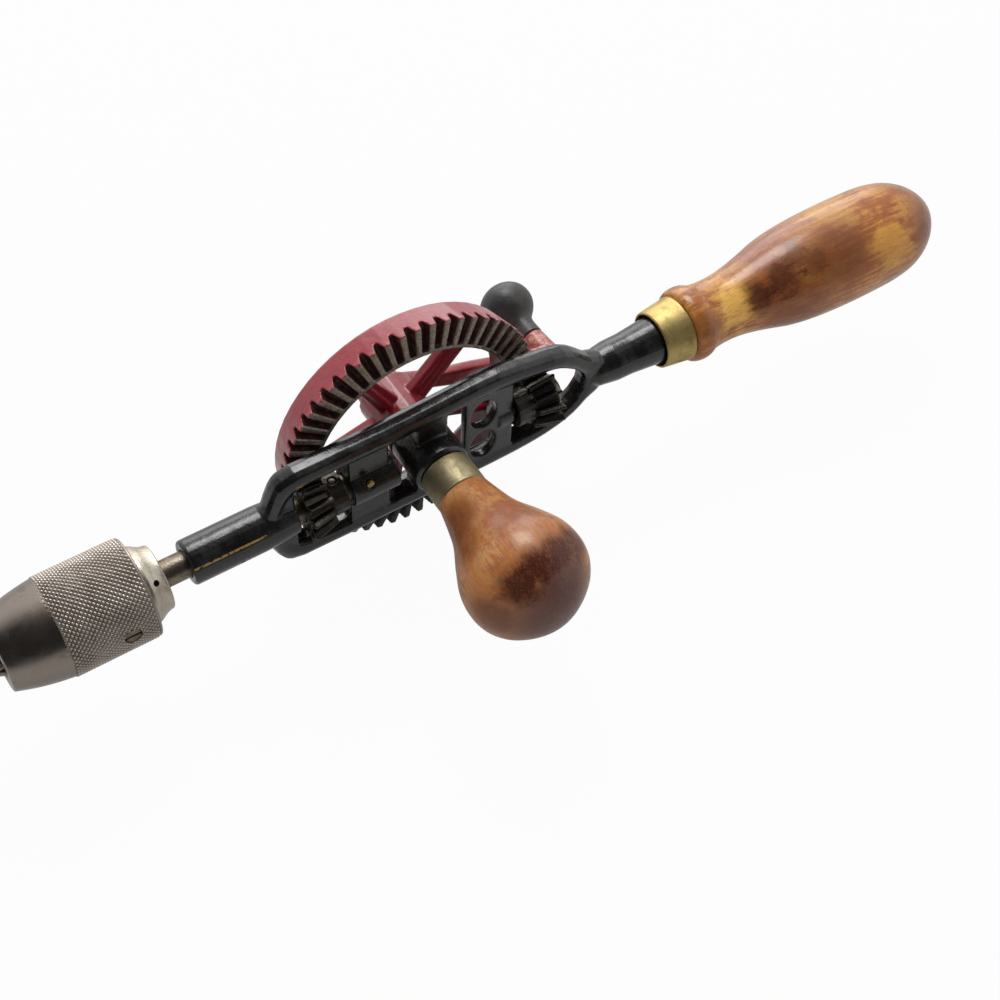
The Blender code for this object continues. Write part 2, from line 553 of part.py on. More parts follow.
def build_frame(parent, finishes):
    """The one-piece casting: nose tube, looped rails, bearing block, boss, web, bar and neck."""
    frame = flat_outline("frame_casting", rail_outline(), RAIL_DEPTH, parent, PLATE_IN_XZ)
    combine(frame, [flat_outline("opening_form", opening_outline(), 2.0 * RAIL_DEPTH, parent,
                                 PLATE_IN_XZ, helper=True)])
    round_edges(frame, RAIL_ROUND)
    tube = turned("tube_form", [
        (TUBE_FRONT, 0.0), (TUBE_FRONT, TUBE_RADIUS - TUBE_LIP), (TUBE_FRONT + TUBE_LIP, TUBE_RADIUS),
        (TUBE_END, TUBE_RADIUS), (0.5 * (TUBE_END + WINDOW_FRONT), 0.96 * TUBE_RADIUS),
        (WINDOW_FRONT, 0.88 * TUBE_RADIUS), (WINDOW_FRONT, 0.0),
    ], parent, ALONG_X, helper=True)
    neck = turned("neck_form", [
        (WINDOW_REAR + RAIL_ROUND, 0.0), (WINDOW_REAR + RAIL_ROUND, 0.62 * NECK_RADIUS),
        (NECK_START, 0.86 * NECK_RADIUS), (NECK_START + NECK_RADIUS, NECK_RADIUS),
        (0.5 * (NECK_START + NECK_END), 1.01 * NECK_RADIUS),
        (FERRULE_FRONT, NECK_END_RADIUS), (NECK_END, NECK_END_RADIUS), (NECK_END, TANG_RADIUS),
        (TANG_END - TUBE_LIP, TANG_RADIUS), (TANG_END, TANG_RADIUS - TUBE_LIP), (TANG_END, 0.0),
    ], parent, ALONG_X, helper=True)
    strap = block("strap_form", (-STRAP_WIDTH / 2.0, -STRAP_DEPTH / 2.0, RAIL_BOTTOM + RAIL_ROUND),
                  (STRAP_WIDTH / 2.0, STRAP_DEPTH / 2.0, RAIL_TOP - RAIL_ROUND), parent)
    boss = turned("boss_form", [
        (-BOSS_FRONT, 0.0), (-BOSS_FRONT, BOSS_RADIUS - HUB_ROUND), (HUB_ROUND - BOSS_FRONT, BOSS_RADIUS),
        (BOSS_REAR - HUB_ROUND, BOSS_RADIUS), (BOSS_REAR, BOSS_RADIUS - HUB_ROUND), (BOSS_REAR, 0.0),
    ], parent, ALONG_Y, helper=True)
    combine(frame, [
        tube, neck, strap, boss, flare_panel(parent),
        panel("block_form", BLOCK_FRONT, BLOCK_REAR, HALF_PANEL, 2.0 * HALF_PANEL, parent),
        rod("barrel_form", BLOCK_FRONT, BARREL_REAR, BARREL_RADIUS, parent, ALONG_X, ROUND_STEPS),
        panel("bar_form", BAR_FRONT, BAR_REAR, HALF_PANEL, 2.0 * HALF_PANEL, parent),
        rod("bar_boss_form", BAR_FRONT, BAR_REAR, BAR_BOSS_RADIUS, parent, ALONG_X),
        panel("web_form", WEB_FRONT, BAR_FRONT + PANEL_INSET, HALF_PANEL, WEB_THICKNESS, parent),
    ], 'UNION')
    oil_way = Matrix.Rotation(OIL_HOLE_ANGLE, 4, 'X') @ ALONG_Y
    combine(frame, [
        rod("spindle_bore", TUBE_FRONT - OVERRUN, BARREL_REAR + OVERRUN, SPINDLE_BORE, parent, ALONG_X),
        rod("axle_bore", -BOSS_FRONT - OVERRUN, BOSS_REAR + OVERRUN, AXLE_RADIUS + GAP, parent, ALONG_Y),
        rod("stud_bore", STUD_SEAT, BAR_REAR + OVERRUN, STUD_RADIUS + GAP, parent, ALONG_X),
        rod("bearing_pin_hole", -BEARING_PIN_REACH - OVERRUN, GAP + BEARING_PIN_LENGTH - BEARING_PIN_REACH,
            BEARING_PIN_RADIUS + GAP, parent, ALONG_Y, PIN_STEPS,
            bearing_pin_place()),
        rod("oil_hole", SPINDLE_RADIUS, TUBE_RADIUS + OVERRUN, OIL_HOLE_RADIUS, parent, oil_way,
            PIN_STEPS, Vector((TUBE_END - OIL_HOLE_INSET, 0.0, 0.0))),
    ])
    combine(frame, [web_hole(side, parent) for side in (1.0, -1.0)])
    return finish(frame, finishes["japan"])


def bearing_pin_place():
    """Where the small brass pin stands in the bearing block's side."""
    return Vector((BLOCK_FRONT + BEARING_PIN_INSET, 0.0, BEARING_PIN_HEIGHT))


def web_hole(side, parent):
    """Cutter for one of the web's two oval holes; side is 1 above the centre and -1 below."""
    place = Vector((BAR_FRONT - WEB_HOLE_INSET, 0.0, side * WEB_HOLE_HEIGHT))
    stretch = Matrix.Diagonal((1.0, WEB_HOLE_RADII[1] / WEB_HOLE_RADII[0], 1.0, 1.0))
    return rod("web_hole_form", -RAIL_DEPTH, RAIL_DEPTH, WEB_HOLE_RADII[0], parent, ALONG_Y @ stretch,
               offset=place)


def slotted(item, name, station, radius, width, depth, parent, rotation, offset=None):
    """Cut a screwdriver slot into the end of a turned piece."""
    low = (-radius - OVERRUN, -width / 2.0, station - depth)
    high = (radius + OVERRUN, width / 2.0, station + OVERRUN)
    combine(item, [block(name, low, high, parent, rotation, offset)])


def build_bearings(parent, finishes):
    """The fixed steel pieces: gear axle, idler stud, thrust plug and bearing pin."""
    head = CRANK_HUB_TOP + GAP + WASHER_THICKNESS + GAP
    top = head + AXLE_HEAD_HEIGHT
    axle = turned("gear_axle_screw", [
        (-AXLE_ROOT, 0.0), (-AXLE_ROOT, AXLE_RADIUS), (head, AXLE_RADIUS), (head, AXLE_HEAD_RADIUS),
        (top - HUB_ROUND, AXLE_HEAD_RADIUS), (top, AXLE_HEAD_RADIUS - HUB_ROUND), (top, 0.0),
    ], parent, ALONG_Y, SMALL_STEPS)
    slotted(axle, "axle_slot", top, AXLE_HEAD_RADIUS, AXLE_SLOT_WIDTH, AXLE_SLOT_DEPTH, parent, ALONG_Y)
    finish(axle, finishes["steel"])
    stud = turned("idler_stud", [
        (STUD_SEAT + GAP, 0.0), (STUD_SEAT + GAP, STUD_RADIUS), (STUD_END, STUD_RADIUS),
        (STUD_END, STUD_HEAD_RADIUS), (STUD_END + 0.45 * STUD_HEAD_HEIGHT, STUD_HEAD_RADIUS),
        (STUD_END + 0.80 * STUD_HEAD_HEIGHT, 0.78 * STUD_HEAD_RADIUS),
        (STUD_END + STUD_HEAD_HEIGHT, 0.40 * STUD_HEAD_RADIUS), (STUD_END + STUD_HEAD_HEIGHT, 0.0),
    ], parent, ALONG_X, SMALL_STEPS)
    finish(stud, finishes["steel"])
    plug = rod("thrust_plug", PLUG_REAR - PLUG_LENGTH, PLUG_REAR, SPINDLE_RADIUS, parent, ALONG_X,
               helper=False)
    slotted(plug, "plug_slot", PLUG_REAR, SPINDLE_RADIUS, PLUG_SLOT_WIDTH, PLUG_SLOT_DEPTH, parent,
            ALONG_X)
    finish(plug, finishes["steel"])
    pin = rod("bearing_pin", -BEARING_PIN_REACH, BEARING_PIN_LENGTH - BEARING_PIN_REACH,
              BEARING_PIN_RADIUS, parent, ALONG_Y, PIN_STEPS, bearing_pin_place(), helper=False)
    finish(pin, finishes["brass"])


def involute(angle):
    """The involute function."""
    return math.tan(angle) - angle


def pinion_outline(scale):
    """Corners of a bevel pinion's section, at a share of its big end; a gap faces +Y."""
    pitch = PITCH_FACE * scale
    tip = (PITCH_FACE + ADDENDUM) * scale
    root = (PITCH_FACE - DEDENDUM) * scale
    base = pitch * math.cos(PRESSURE_ANGLE)
    half = PINION_TOOTH_SHARE * math.pi / PINION_TEETH
    points = []
    for tooth in range(PINION_TEETH):
        middle = (tooth + 0.5) * FULL_TURN / PINION_TEETH
        flank = []
        for radius in (root, base, pitch, tip):
            ratio = min(1.0, base / radius)
            turn = half + involute(PRESSURE_ANGLE) - involute(math.acos(ratio))
            flank.append((radius, max(turn, 0.25 * half)))
        points += [(radius, middle - turn) for radius, turn in flank]
        points += [(radius, middle + turn) for radius, turn in reversed(flank)]
    return [Vector((radius * math.cos(angle), radius * math.sin(angle))) for radius, angle in points]


def build_pinion(name, side, parent, material, cuts=()):
    """A bevel pinion with its hub towards the centre; side is -1 for the spindle's, 1 for the idler's."""
    work = bmesh.new()
    rings = []
    for scale in (1.0, INNER_SHARE):
        station = side * PITCH_RADIUS * scale
        rings.append([work.verts.new((station, point.x, point.y)) for point in pinion_outline(scale)])
    big, small = rings
    work.faces.new(big)
    work.faces.new(small[::-1])
    for index, corner in enumerate(big):
        before = index - 1
        work.faces.new((big[before], corner, small[index], small[before]))
    bmesh.ops.recalc_face_normals(work, faces=work.faces)
    mesh = bpy.data.meshes.new(name)
    work.to_mesh(mesh)
    work.free()
    pinion = add_object(name, mesh, parent)
    ends = sorted((side * PINION_BACK, side * (INNER_RADIUS + GAP)))
    hub = rod(name + "_hub_form", ends[0], ends[1], PINION_HUB_RADIUS, parent, ALONG_X)
    combine(pinion, [hub], 'UNION')
    shaft = SPINDLE_RADIUS if side < 0.0 else STUD_RADIUS
    span = sorted((side * (PINION_BACK - OVERRUN), side * (PITCH_RADIUS + OVERRUN)))
    bore = rod(name + "_bore", span[0], span[1], shaft + GAP, parent, ALONG_X)
    combine(pinion, [bore] + list(cuts))
    return finish(pinion, material)


def build_spindle(parent, finishes):
    """The spindle, its pinion and cross pin, and the thrust ball."""
    pin_station = -(PINION_BACK + PINION_HUB_LENGTH / 2.0)
    pin_hole = rod("pin_hole", -PITCH_FACE, PITCH_FACE, PINION_PIN_RADIUS + GAP, parent, Matrix(),
                   PIN_STEPS, Vector((pin_station, 0.0, 0.0)))
    spindle = turned("spindle", [
        (SPINDLE_SEAT, 0.0), (SPINDLE_SEAT, SPINDLE_RADIUS - SPINDLE_CHAMFER),
        (SPINDLE_SEAT + SPINDLE_CHAMFER, SPINDLE_RADIUS), (SPINDLE_END - SPINDLE_CHAMFER, SPINDLE_RADIUS),
        (SPINDLE_END, SPINDLE_RADIUS - SPINDLE_CHAMFER), (SPINDLE_END, 0.0),
    ], parent, ALONG_X, SMALL_STEPS)
    combine(spindle, [pin_hole])
    finish(spindle, finishes["steel"])
    build_pinion("spindle_pinion", -1.0, parent, finishes["steel"], [pin_hole])
    reach = PINION_HUB_RADIUS - GAP
    pin = rod("pinion_pin", -reach, reach, PINION_PIN_RADIUS, parent, Matrix(), PIN_STEPS,
              Vector((pin_station, 0.0, 0.0)), helper=False)
    finish(pin, finishes["steel"])
    arc = [(BALL_STATION - BALL_RADIUS * math.cos(turn), BALL_RADIUS * math.sin(turn))
           for turn in (math.pi * index / 6.0 for index in range(7))]
    arc[0] = (arc[0][0], 0.0)
    arc[-1] = (arc[-1][0], 0.0)
    ball = turned("thrust_ball", arc, parent, ALONG_X, PIN_STEPS)
    finish(ball, finishes["steel"])


def build_chuck_body(parent, finishes):
    """The chuck's threaded core with its rear collar, jaw recess and spindle seat."""
    half_way = 0.5 * (SLEEVE_REAR + OVERRUN + COLLAR_WAIST)
    outline = [
        (RECESS_END, 0.0), (RECESS_END, RECESS_RADIUS), (CORE_FRONT, RECESS_RADIUS),
        (CORE_FRONT, CORE_RADIUS - SLEEVE_EDGE), (CORE_FRONT + SLEEVE_EDGE, CORE_RADIUS),
        (SLEEVE_REAR + OVERRUN, CORE_RADIUS),
        (half_way, 0.35 * CORE_RADIUS + 0.65 * COLLAR_WAIST_RADIUS),
        (COLLAR_WAIST, COLLAR_WAIST_RADIUS), (COLLAR_REAR - SLEEVE_EDGE, COLLAR_REAR_RADIUS + SLEEVE_EDGE),
        (COLLAR_REAR, COLLAR_REAR_RADIUS), (COLLAR_REAR, SPINDLE_BORE),
        (SPINDLE_SEAT - GAP, SPINDLE_BORE), (SPINDLE_SEAT - GAP, 0.0),
    ]
    body = turned("chuck_body", outline, parent, ALONG_X, FINE_STEPS)
    tommy_way = Matrix.Rotation(TOMMY_ANGLE, 4, 'X') @ ALONG_Y
    combine(body, [rod("tommy_hole", COLLAR_WAIST_RADIUS - TOMMY_DEPTH, CORE_RADIUS + OVERRUN,
                       TOMMY_RADIUS, parent, tommy_way, PIN_STEPS, Vector((COLLAR_REAR - TOMMY_INSET, 0.0, 0.0)))])
    return finish(body, finishes["nickel"])


def cone_radius(station):
    """Inner radius of the sleeve's cone, which the jaws slide along."""
    share = (station - CONE_FRONT) / (CONE_REAR - CONE_FRONT)
    return MOUTH_RADIUS + share * (SLEEVE_BORE - MOUTH_RADIUS)


def build_sleeve(parent, finishes):
    """The knurled sleeve with its nose, and its slotted screw."""
    nose_mid = KNURL_FRONT + NOSE_MID_SHARE * (NOSE_FRONT - KNURL_FRONT)
    outer = [
        (NOSE_FRONT, NOSE_RADIUS - NOSE_EDGE), (NOSE_FRONT + NOSE_EDGE, NOSE_RADIUS),
        (nose_mid, NOSE_MID_RADIUS), (KNURL_FRONT - SLEEVE_EDGE, SLEEVE_RADIUS - SLEEVE_EDGE / 2.0),
        (KNURL_FRONT, SLEEVE_RADIUS), (SLEEVE_REAR - SLEEVE_EDGE, SLEEVE_RADIUS),
        (SLEEVE_REAR, SLEEVE_RADIUS - SLEEVE_EDGE),
    ]
    inner = [(NOSE_FRONT, MOUTH_RADIUS), (CONE_FRONT, MOUTH_RADIUS), (CONE_REAR, SLEEVE_BORE),
             (SLEEVE_REAR, SLEEVE_BORE)]
    sleeve = turned("chuck_sleeve", outer, parent, ALONG_X, FINE_STEPS, inner)
    radial = Matrix.Rotation(GRUB_ANGLE, 4, 'X') @ ALONG_Y
    place = Vector((GRUB_STATION, 0.0, 0.0))
    combine(sleeve, [rod("grub_hole", CORE_RADIUS, SLEEVE_RADIUS + OVERRUN, GRUB_RADIUS + GAP, parent,
                         radial, PIN_STEPS, place)])
    finish(sleeve, finishes["steel"])
    top = SLEEVE_RADIUS - SLEEVE_EDGE
    screw = rod("sleeve_grub_screw", SLEEVE_BORE, top, GRUB_RADIUS, parent, radial, PIN_STEPS, place,
                helper=False)
    slotted(screw, "grub_slot", top, GRUB_RADIUS, GRUB_SLOT_WIDTH, GRUB_SLOT_DEPTH, parent, radial,
            place)
    finish(screw, finishes["steel"])


def build_jaws(parents, finishes):
    """Three jaws, each a slice of a cone that fits the sleeve's."""
    outer = [
        (JAW_TIP, 0.0), (JAW_TIP, JAW_TIP_RADIUS), (NOSE_FRONT, MOUTH_RADIUS - JAW_MOUTH_GAP),
        (CONE_FRONT, MOUTH_RADIUS - JAW_MOUTH_GAP),
        (JAW_SHOULDER, cone_radius(JAW_SHOULDER) - 2.0 * GAP), (JAW_SHOULDER, JAW_TAIL_RADIUS),
        (JAW_REAR, JAW_TAIL_RADIUS), (JAW_REAR, 0.0),
    ]
    flare = JAW_OPENING + (JAW_HALF_WIDTH - JAW_LAND) / math.tan(math.radians(60.0))
    section = [(JAW_OPENING, -JAW_LAND), (JAW_OPENING, JAW_LAND), (flare, JAW_HALF_WIDTH),
               (SLEEVE_RADIUS, JAW_HALF_WIDTH), (SLEEVE_RADIUS, -JAW_HALF_WIDTH),
               (flare, -JAW_HALF_WIDTH)]
    for index, parent in enumerate(parents):
        turn = Matrix.Rotation(FULL_TURN * index / JAW_COUNT, 4, 'X')
        jaw = turned("jaw_%d" % (index + 1), outer, parent, turn @ ALONG_X, FINE_STEPS)
        work = bmesh.new()
        face = work.faces.new([work.verts.new((JAW_TIP - OVERRUN, tangent, radial))
                               for radial, tangent in section])
        grown = bmesh.ops.extrude_face_region(work, geom=[face])
        moved = [item for item in grown["geom"] if isinstance(item, bmesh.types.BMVert)]
        bmesh.ops.translate(work, vec=(JAW_REAR - JAW_TIP + 2.0 * OVERRUN, 0.0, 0.0), verts=moved)
        bmesh.ops.recalc_face_normals(work, faces=work.faces)
        mesh = bpy.data.meshes.new("jaw_section")
        work.to_mesh(mesh)
        work.free()
        combine(jaw, [add_object("jaw_section", mesh, parent, turn, helper=True)], 'INTERSECT')
        finish(jaw, finishes["steel"])


def build_wheel(parent, finishes):
    """The bevel gear wheel: toothed rim, ribbed spokes and hub in one casting."""
    lean = (RIM_BACK - TIP_FACE) / RATIO
    outer_back = WHEEL_OUTER - lean
    inner_back = INNER_RADIUS * RIM_INNER_SHARE
    rim_outer = [
        (TIP_FACE * WHEEL_OUTER / PITCH_RADIUS, WHEEL_OUTER),
        (RIM_BACK - RIM_ROUND, outer_back + RIM_ROUND / RATIO),
        (RIM_BACK, outer_back - RIM_ROUND),
    ]
    rim_inner = [
        (LEDGE_FACE, INNER_RADIUS), (LEDGE_FACE, INNER_RADIUS - GAP - LEDGE_WIDTH),
        (RIM_BACK - RIM_SETBACK, inner_back),
        (RIM_BACK, inner_back + RIM_SETBACK),
    ]
    wheel = turned("gear_wheel", rim_outer, parent, ALONG_Y, WHEEL_TEETH, rim_inner)
    slots = bmesh.new()
    stretch = ((INNER_RADIUS - GAP) / PITCH_RADIUS, 1.0 + 2.0 * OVERRUN / PITCH_RADIUS)
    widen = (SLOT_PITCH_SHARE - SLOT_ROOT_SHARE) / DEDENDUM
    mouth = PITCH_FACE - ADDENDUM - OVERRUN
    mouth_share = SLOT_ROOT_SHARE + widen * (PITCH_FACE + DEDENDUM - mouth)
    corners = [(PITCH_FACE + DEDENDUM, -SLOT_ROOT_SHARE), (PITCH_FACE + DEDENDUM, SLOT_ROOT_SHARE),
               (mouth, mouth_share), (mouth, -mouth_share)]
    for tooth in range(WHEEL_TEETH):
        turn = Matrix.Rotation((tooth + 0.5) * FULL_TURN / WHEEL_TEETH, 3, 'Y')
        rings = [[slots.verts.new(turn @ Vector((PITCH_RADIUS * scale, depth * scale,
                                                 width * TOOTH_PITCH / 2.0 * scale)))
                  for depth, width in corners] for scale in stretch]
        near, far = rings
        slots.faces.new(near)
        slots.faces.new(far[::-1])
        for index in range(len(corners)):
            slots.faces.new((near[index - 1], near[index], far[index], far[index - 1]))
    bmesh.ops.recalc_face_normals(slots, faces=slots.faces)
    slot_mesh = bpy.data.meshes.new("tooth_slots")
    slots.to_mesh(slot_mesh)
    slots.free()
    combine(wheel, [add_object("tooth_slots", slot_mesh, parent, helper=True)])
    hub = turned("wheel_hub_form", [
        (WHEEL_HUB_FACE, 0.0), (WHEEL_HUB_FACE, WHEEL_HUB_RADIUS),
        (WHEEL_HUB_END - HUB_ROUND, WHEEL_HUB_RADIUS),
        (WHEEL_HUB_END, WHEEL_HUB_RADIUS - HUB_ROUND), (WHEEL_HUB_END, 0.0),
    ], parent, ALONG_Y, SMALL_STEPS, helper=True)
    reach = inner_back + RIM_SETBACK
    turns = [Matrix.Rotation(-(SPOKE_FIRST_ANGLE + FULL_TURN * index / SPOKE_COUNT), 4, 'Y')
             for index in range(SPOKE_COUNT)]
    square = square_form("square_end_form", WHEEL_HUB_END - HUB_ROUND, CRANK_FACE + CRANK_THICKNESS - GAP,
                         SQUARE_WIDTH, parent)
    combine(wheel, [hub, square] + [spoke_form(reach, parent, turn) for turn in turns], 'UNION')
    combine(wheel, [rod("wheel_bore", WHEEL_HUB_FACE - OVERRUN, CRANK_HUB_TOP, AXLE_RADIUS + GAP,
                        parent, ALONG_Y)])
    return finish(wheel, finishes["red"], 30.0)


def square_form(name, start, end, width, parent):
    """The square that joins the wheel's hub and the crank arm, turned with the arm."""
    tilt = Matrix.Rotation(-CRANK_ANGLE, 4, 'Y')
    return block(name, (-width / 2.0, start, -width / 2.0), (width / 2.0, end, width / 2.0), parent, tilt)


def spoke_form(reach, parent, turn):
    """One tapered spoke with a rib along its front."""
    back = SPOKE_FACE + SPOKE_THICKNESS
    rib = SPOKE_FACE - SPOKE_RIB_HEIGHT
    start = WHEEL_HUB_RADIUS / 2.0
    work = bmesh.new()
    rings = []
    for radius, width in ((start, SPOKE_WIDTH_HUB), (reach, SPOKE_WIDTH_RIM)):
        half = width / 2.0
        ridge = SPOKE_RIB_WIDTH / 2.0
        profile = [(back, -half), (back, half), (SPOKE_FACE, half), (SPOKE_FACE, ridge), (rib, ridge),
                   (rib, -ridge), (SPOKE_FACE, -ridge), (SPOKE_FACE, -half)]
        rings.append([work.verts.new((radius, station, side)) for station, side in profile])
    near, far = rings
    work.faces.new(near)
    work.faces.new(far[::-1])
    for corner in range(len(near)):
        work.faces.new((near[corner - 1], near[corner], far[corner], far[corner - 1]))
    bmesh.ops.recalc_face_normals(work, faces=work.faces)
    mesh = bpy.data.meshes.new("spoke_form")
    work.to_mesh(mesh)
    work.free()
    item = add_object("spoke_form", mesh, parent, turn, helper=True)
    rounding = item.modifiers.new("round", 'BEVEL')
    rounding.width = SPOKE_BEVEL
    rounding.segments = 1
    rounding.limit_method = 'ANGLE'
    return item


def build_crank(parent, finishes):
    """The crank arm with its two bosses, the knob's pin and the axle washer."""
    first, last = CRANK_WAIST_SHARES
    hub, end, length = CRANK_HUB_RADIUS, CRANK_END_RADIUS, CRANK_RADIUS
    half = [(-hub, 0.0), (-0.71 * hub, 0.71 * hub), (0.0, hub), (0.80 * hub, 0.86 * first * hub),
            (0.5 * length, 0.5 * (0.72 * first * hub + last * end)), (length - 1.5 * end, last * end),
            (length, end), (length + 0.71 * end, 0.71 * end), (length + end, 0.0)]
    outline = half + [(across, -up) for across, up in half[-2:0:-1]]
    tilt = Matrix.Rotation(-CRANK_ANGLE, 4, 'Y')
    arm_middle = CRANK_FACE + CRANK_THICKNESS / 2.0
    arm = flat_outline("crank_arm", outline, CRANK_THICKNESS, parent, tilt @ PLATE_IN_XZ,
                       offset=Vector((0.0, arm_middle, 0.0)))
    round_edges(arm, CRANK_BEVEL)
    arm_top = CRANK_FACE + CRANK_THICKNESS
    knob_place = Vector((KNOB_X, 0.0, KNOB_Z))
    hub_boss = rod("crank_hub_form", arm_middle, CRANK_HUB_TOP, 0.88 * CRANK_HUB_RADIUS, parent, ALONG_Y)
    knob_boss = turned("knob_boss_form", [
        (arm_middle, 0.0), (arm_middle, 0.94 * CRANK_END_RADIUS),
        (arm_top, 0.94 * CRANK_END_RADIUS), (KNOB_FACE, KNOB_BOSS_RADIUS), (KNOB_FACE, 0.0),
    ], parent, ALONG_Y, SMALL_STEPS, offset=knob_place, helper=True)
    combine(arm, [hub_boss, knob_boss], 'UNION')
    combine(arm, [
        rod("crank_bore", CRANK_FACE - OVERRUN, CRANK_HUB_TOP + OVERRUN, AXLE_RADIUS + GAP, parent,
            ALONG_Y),
        square_form("square_hole", CRANK_FACE - OVERRUN, CRANK_FACE + CRANK_THICKNESS,
                    SQUARE_WIDTH + 2.0 * GAP, parent),
        rod("knob_pin_hole", CRANK_FACE + CRANK_BEVEL, KNOB_FACE + OVERRUN, KNOB_PIN_RADIUS + GAP,
            parent, ALONG_Y, PIN_STEPS, knob_place),
    ])
    finish(arm, finishes["red"])
    knob_top = KNOB_FACE + GAP + KNOB_LENGTH
    head = knob_top - KNOB_PIN_HEAD_HEIGHT
    pin = turned("crank_knob_pin", [
        (CRANK_FACE + CRANK_BEVEL + GAP, 0.0), (CRANK_FACE + CRANK_BEVEL + GAP, KNOB_PIN_RADIUS),
        (head, KNOB_PIN_RADIUS), (head, KNOB_PIN_HEAD_RADIUS),
        (head + 0.6 * KNOB_PIN_HEAD_HEIGHT, 0.7 * KNOB_PIN_HEAD_RADIUS), (knob_top, 0.0),
    ], parent, ALONG_Y, PIN_STEPS, offset=knob_place)
    finish(pin, finishes["steel"])
    seat = CRANK_HUB_TOP + GAP
    top = seat + WASHER_THICKNESS
    bore = AXLE_RADIUS + GAP
    washer = turned("axle_washer", [(seat, WASHER_RADIUS), (top, WASHER_RADIUS)], parent, ALONG_Y,
                    SMALL_STEPS, [(seat, bore), (top, bore)])
    finish(washer, finishes["steel"])


def build_crank_knob(parent, finishes):
    """The mushroom knob that turns on its pin."""
    start = KNOB_FACE + GAP
    end = start + KNOB_LENGTH
    shares = [(0.0, 0.96), (0.16, 0.95), (0.27, 1.08), (0.38, 1.42)]
    outer = [(start + along * KNOB_LENGTH, radius * KNOB_NECK_RADIUS) for along, radius in shares]
    head_shares = [(0.50, 0.84), (0.58, 0.96), (0.67, 1.0), (0.78, 0.95), (0.88, 0.78), (0.96, 0.50)]
    outer += [(start + along * KNOB_LENGTH, radius * KNOB_HEAD_RADIUS) for along, radius in head_shares]
    pocket = end - KNOB_PIN_HEAD_HEIGHT - GAP
    outer += [(end, KNOB_PIN_HEAD_RADIUS + GAP)]
    inner = [(start, KNOB_PIN_RADIUS + GAP), (pocket, KNOB_PIN_RADIUS + GAP),
             (pocket, KNOB_PIN_HEAD_RADIUS + GAP)]
    knob = turned("crank_knob", outer, parent, ALONG_Y, SMALL_STEPS, inner)
    return finish(knob, finishes["japan"], 50.0)


def ferrule(name, start, end, radii, parent, rotation, material, lip=None):
    """A drawn brass ferrule, open at both ends or with a lip at its front."""
    outer = [(start, radii[0] - FERRULE_EDGE), (start + FERRULE_EDGE, radii[0]),
             (end - FERRULE_EDGE, radii[1]), (end, radii[1] - FERRULE_EDGE)]
    inner = [(start, radii[0] - FERRULE_WALL), (end, radii[1] - FERRULE_WALL)]
    if lip:
        inner = [(start, lip), (start + FERRULE_WALL, lip), (start + FERRULE_WALL, radii[0] - FERRULE_WALL),
                 (end, radii[1] - FERRULE_WALL)]
    return finish(turned(name, outer, parent, rotation, ROUND_STEPS, inner), material)


def build_main_handle(parent, finishes):
    """The turned wooden handle and its ferrule, on the frame's tang."""
    ferrule("main_ferrule", FERRULE_FRONT, FERRULE_REAR, FERRULE_RADII, parent, ALONG_X,
            finishes["brass"])
    room = FERRULE_WALL + GAP
    slope = (FERRULE_RADII[1] - FERRULE_RADII[0]) / (FERRULE_REAR - FERRULE_FRONT)
    spigot = FERRULE_RADII[0] - room + slope * (HANDLE_FRONT - FERRULE_FRONT)
    shoulder = FERRULE_REAR + GAP
    length = HANDLE_END - shoulder
    body_shares = [(0.245, 0.700), (0.31, 0.79), (0.365, 0.875), (0.425, 0.938), (0.51, 0.983),
                   (0.615, 1.0), (0.72, 0.994), (0.785, 0.972), (0.842, 0.911), (0.877, 0.844),
                   (0.908, 0.757), (0.938, 0.645), (0.968, 0.460), (0.990, 0.240)]
    bead = 0.5 * BEAD_RADIUS
    outer = [
        (HANDLE_FRONT, spigot), (shoulder, FERRULE_RADII[1] - room),
        (shoulder, BEAD_RADIUS - 0.28 * bead), (shoulder + 0.20 * bead, BEAD_RADIUS - 0.06 * bead),
        (shoulder + 0.55 * bead, BEAD_RADIUS), (shoulder + 0.90 * bead, BEAD_RADIUS - 0.10 * bead),
        (shoulder + 1.15 * bead, BEAD_RADIUS - 0.34 * bead),
        (shoulder + 1.75 * bead, HANDLE_NECK_RADIUS), (shoulder + 2.6 * bead, 1.01 * HANDLE_NECK_RADIUS),
    ]
    outer += [(shoulder + along * length, radius * HANDLE_RADIUS) for along, radius in body_shares]
    outer += [(HANDLE_END, 0.0)]
    bore = [(TANG_BORE_END, 0.0), (TANG_BORE_END, TANG_RADIUS + GAP), (HANDLE_FRONT, TANG_RADIUS + GAP)]
    handle = turned("main_handle", bore + outer, parent, ALONG_X)
    return finish(handle, finishes["wood"], 50.0)


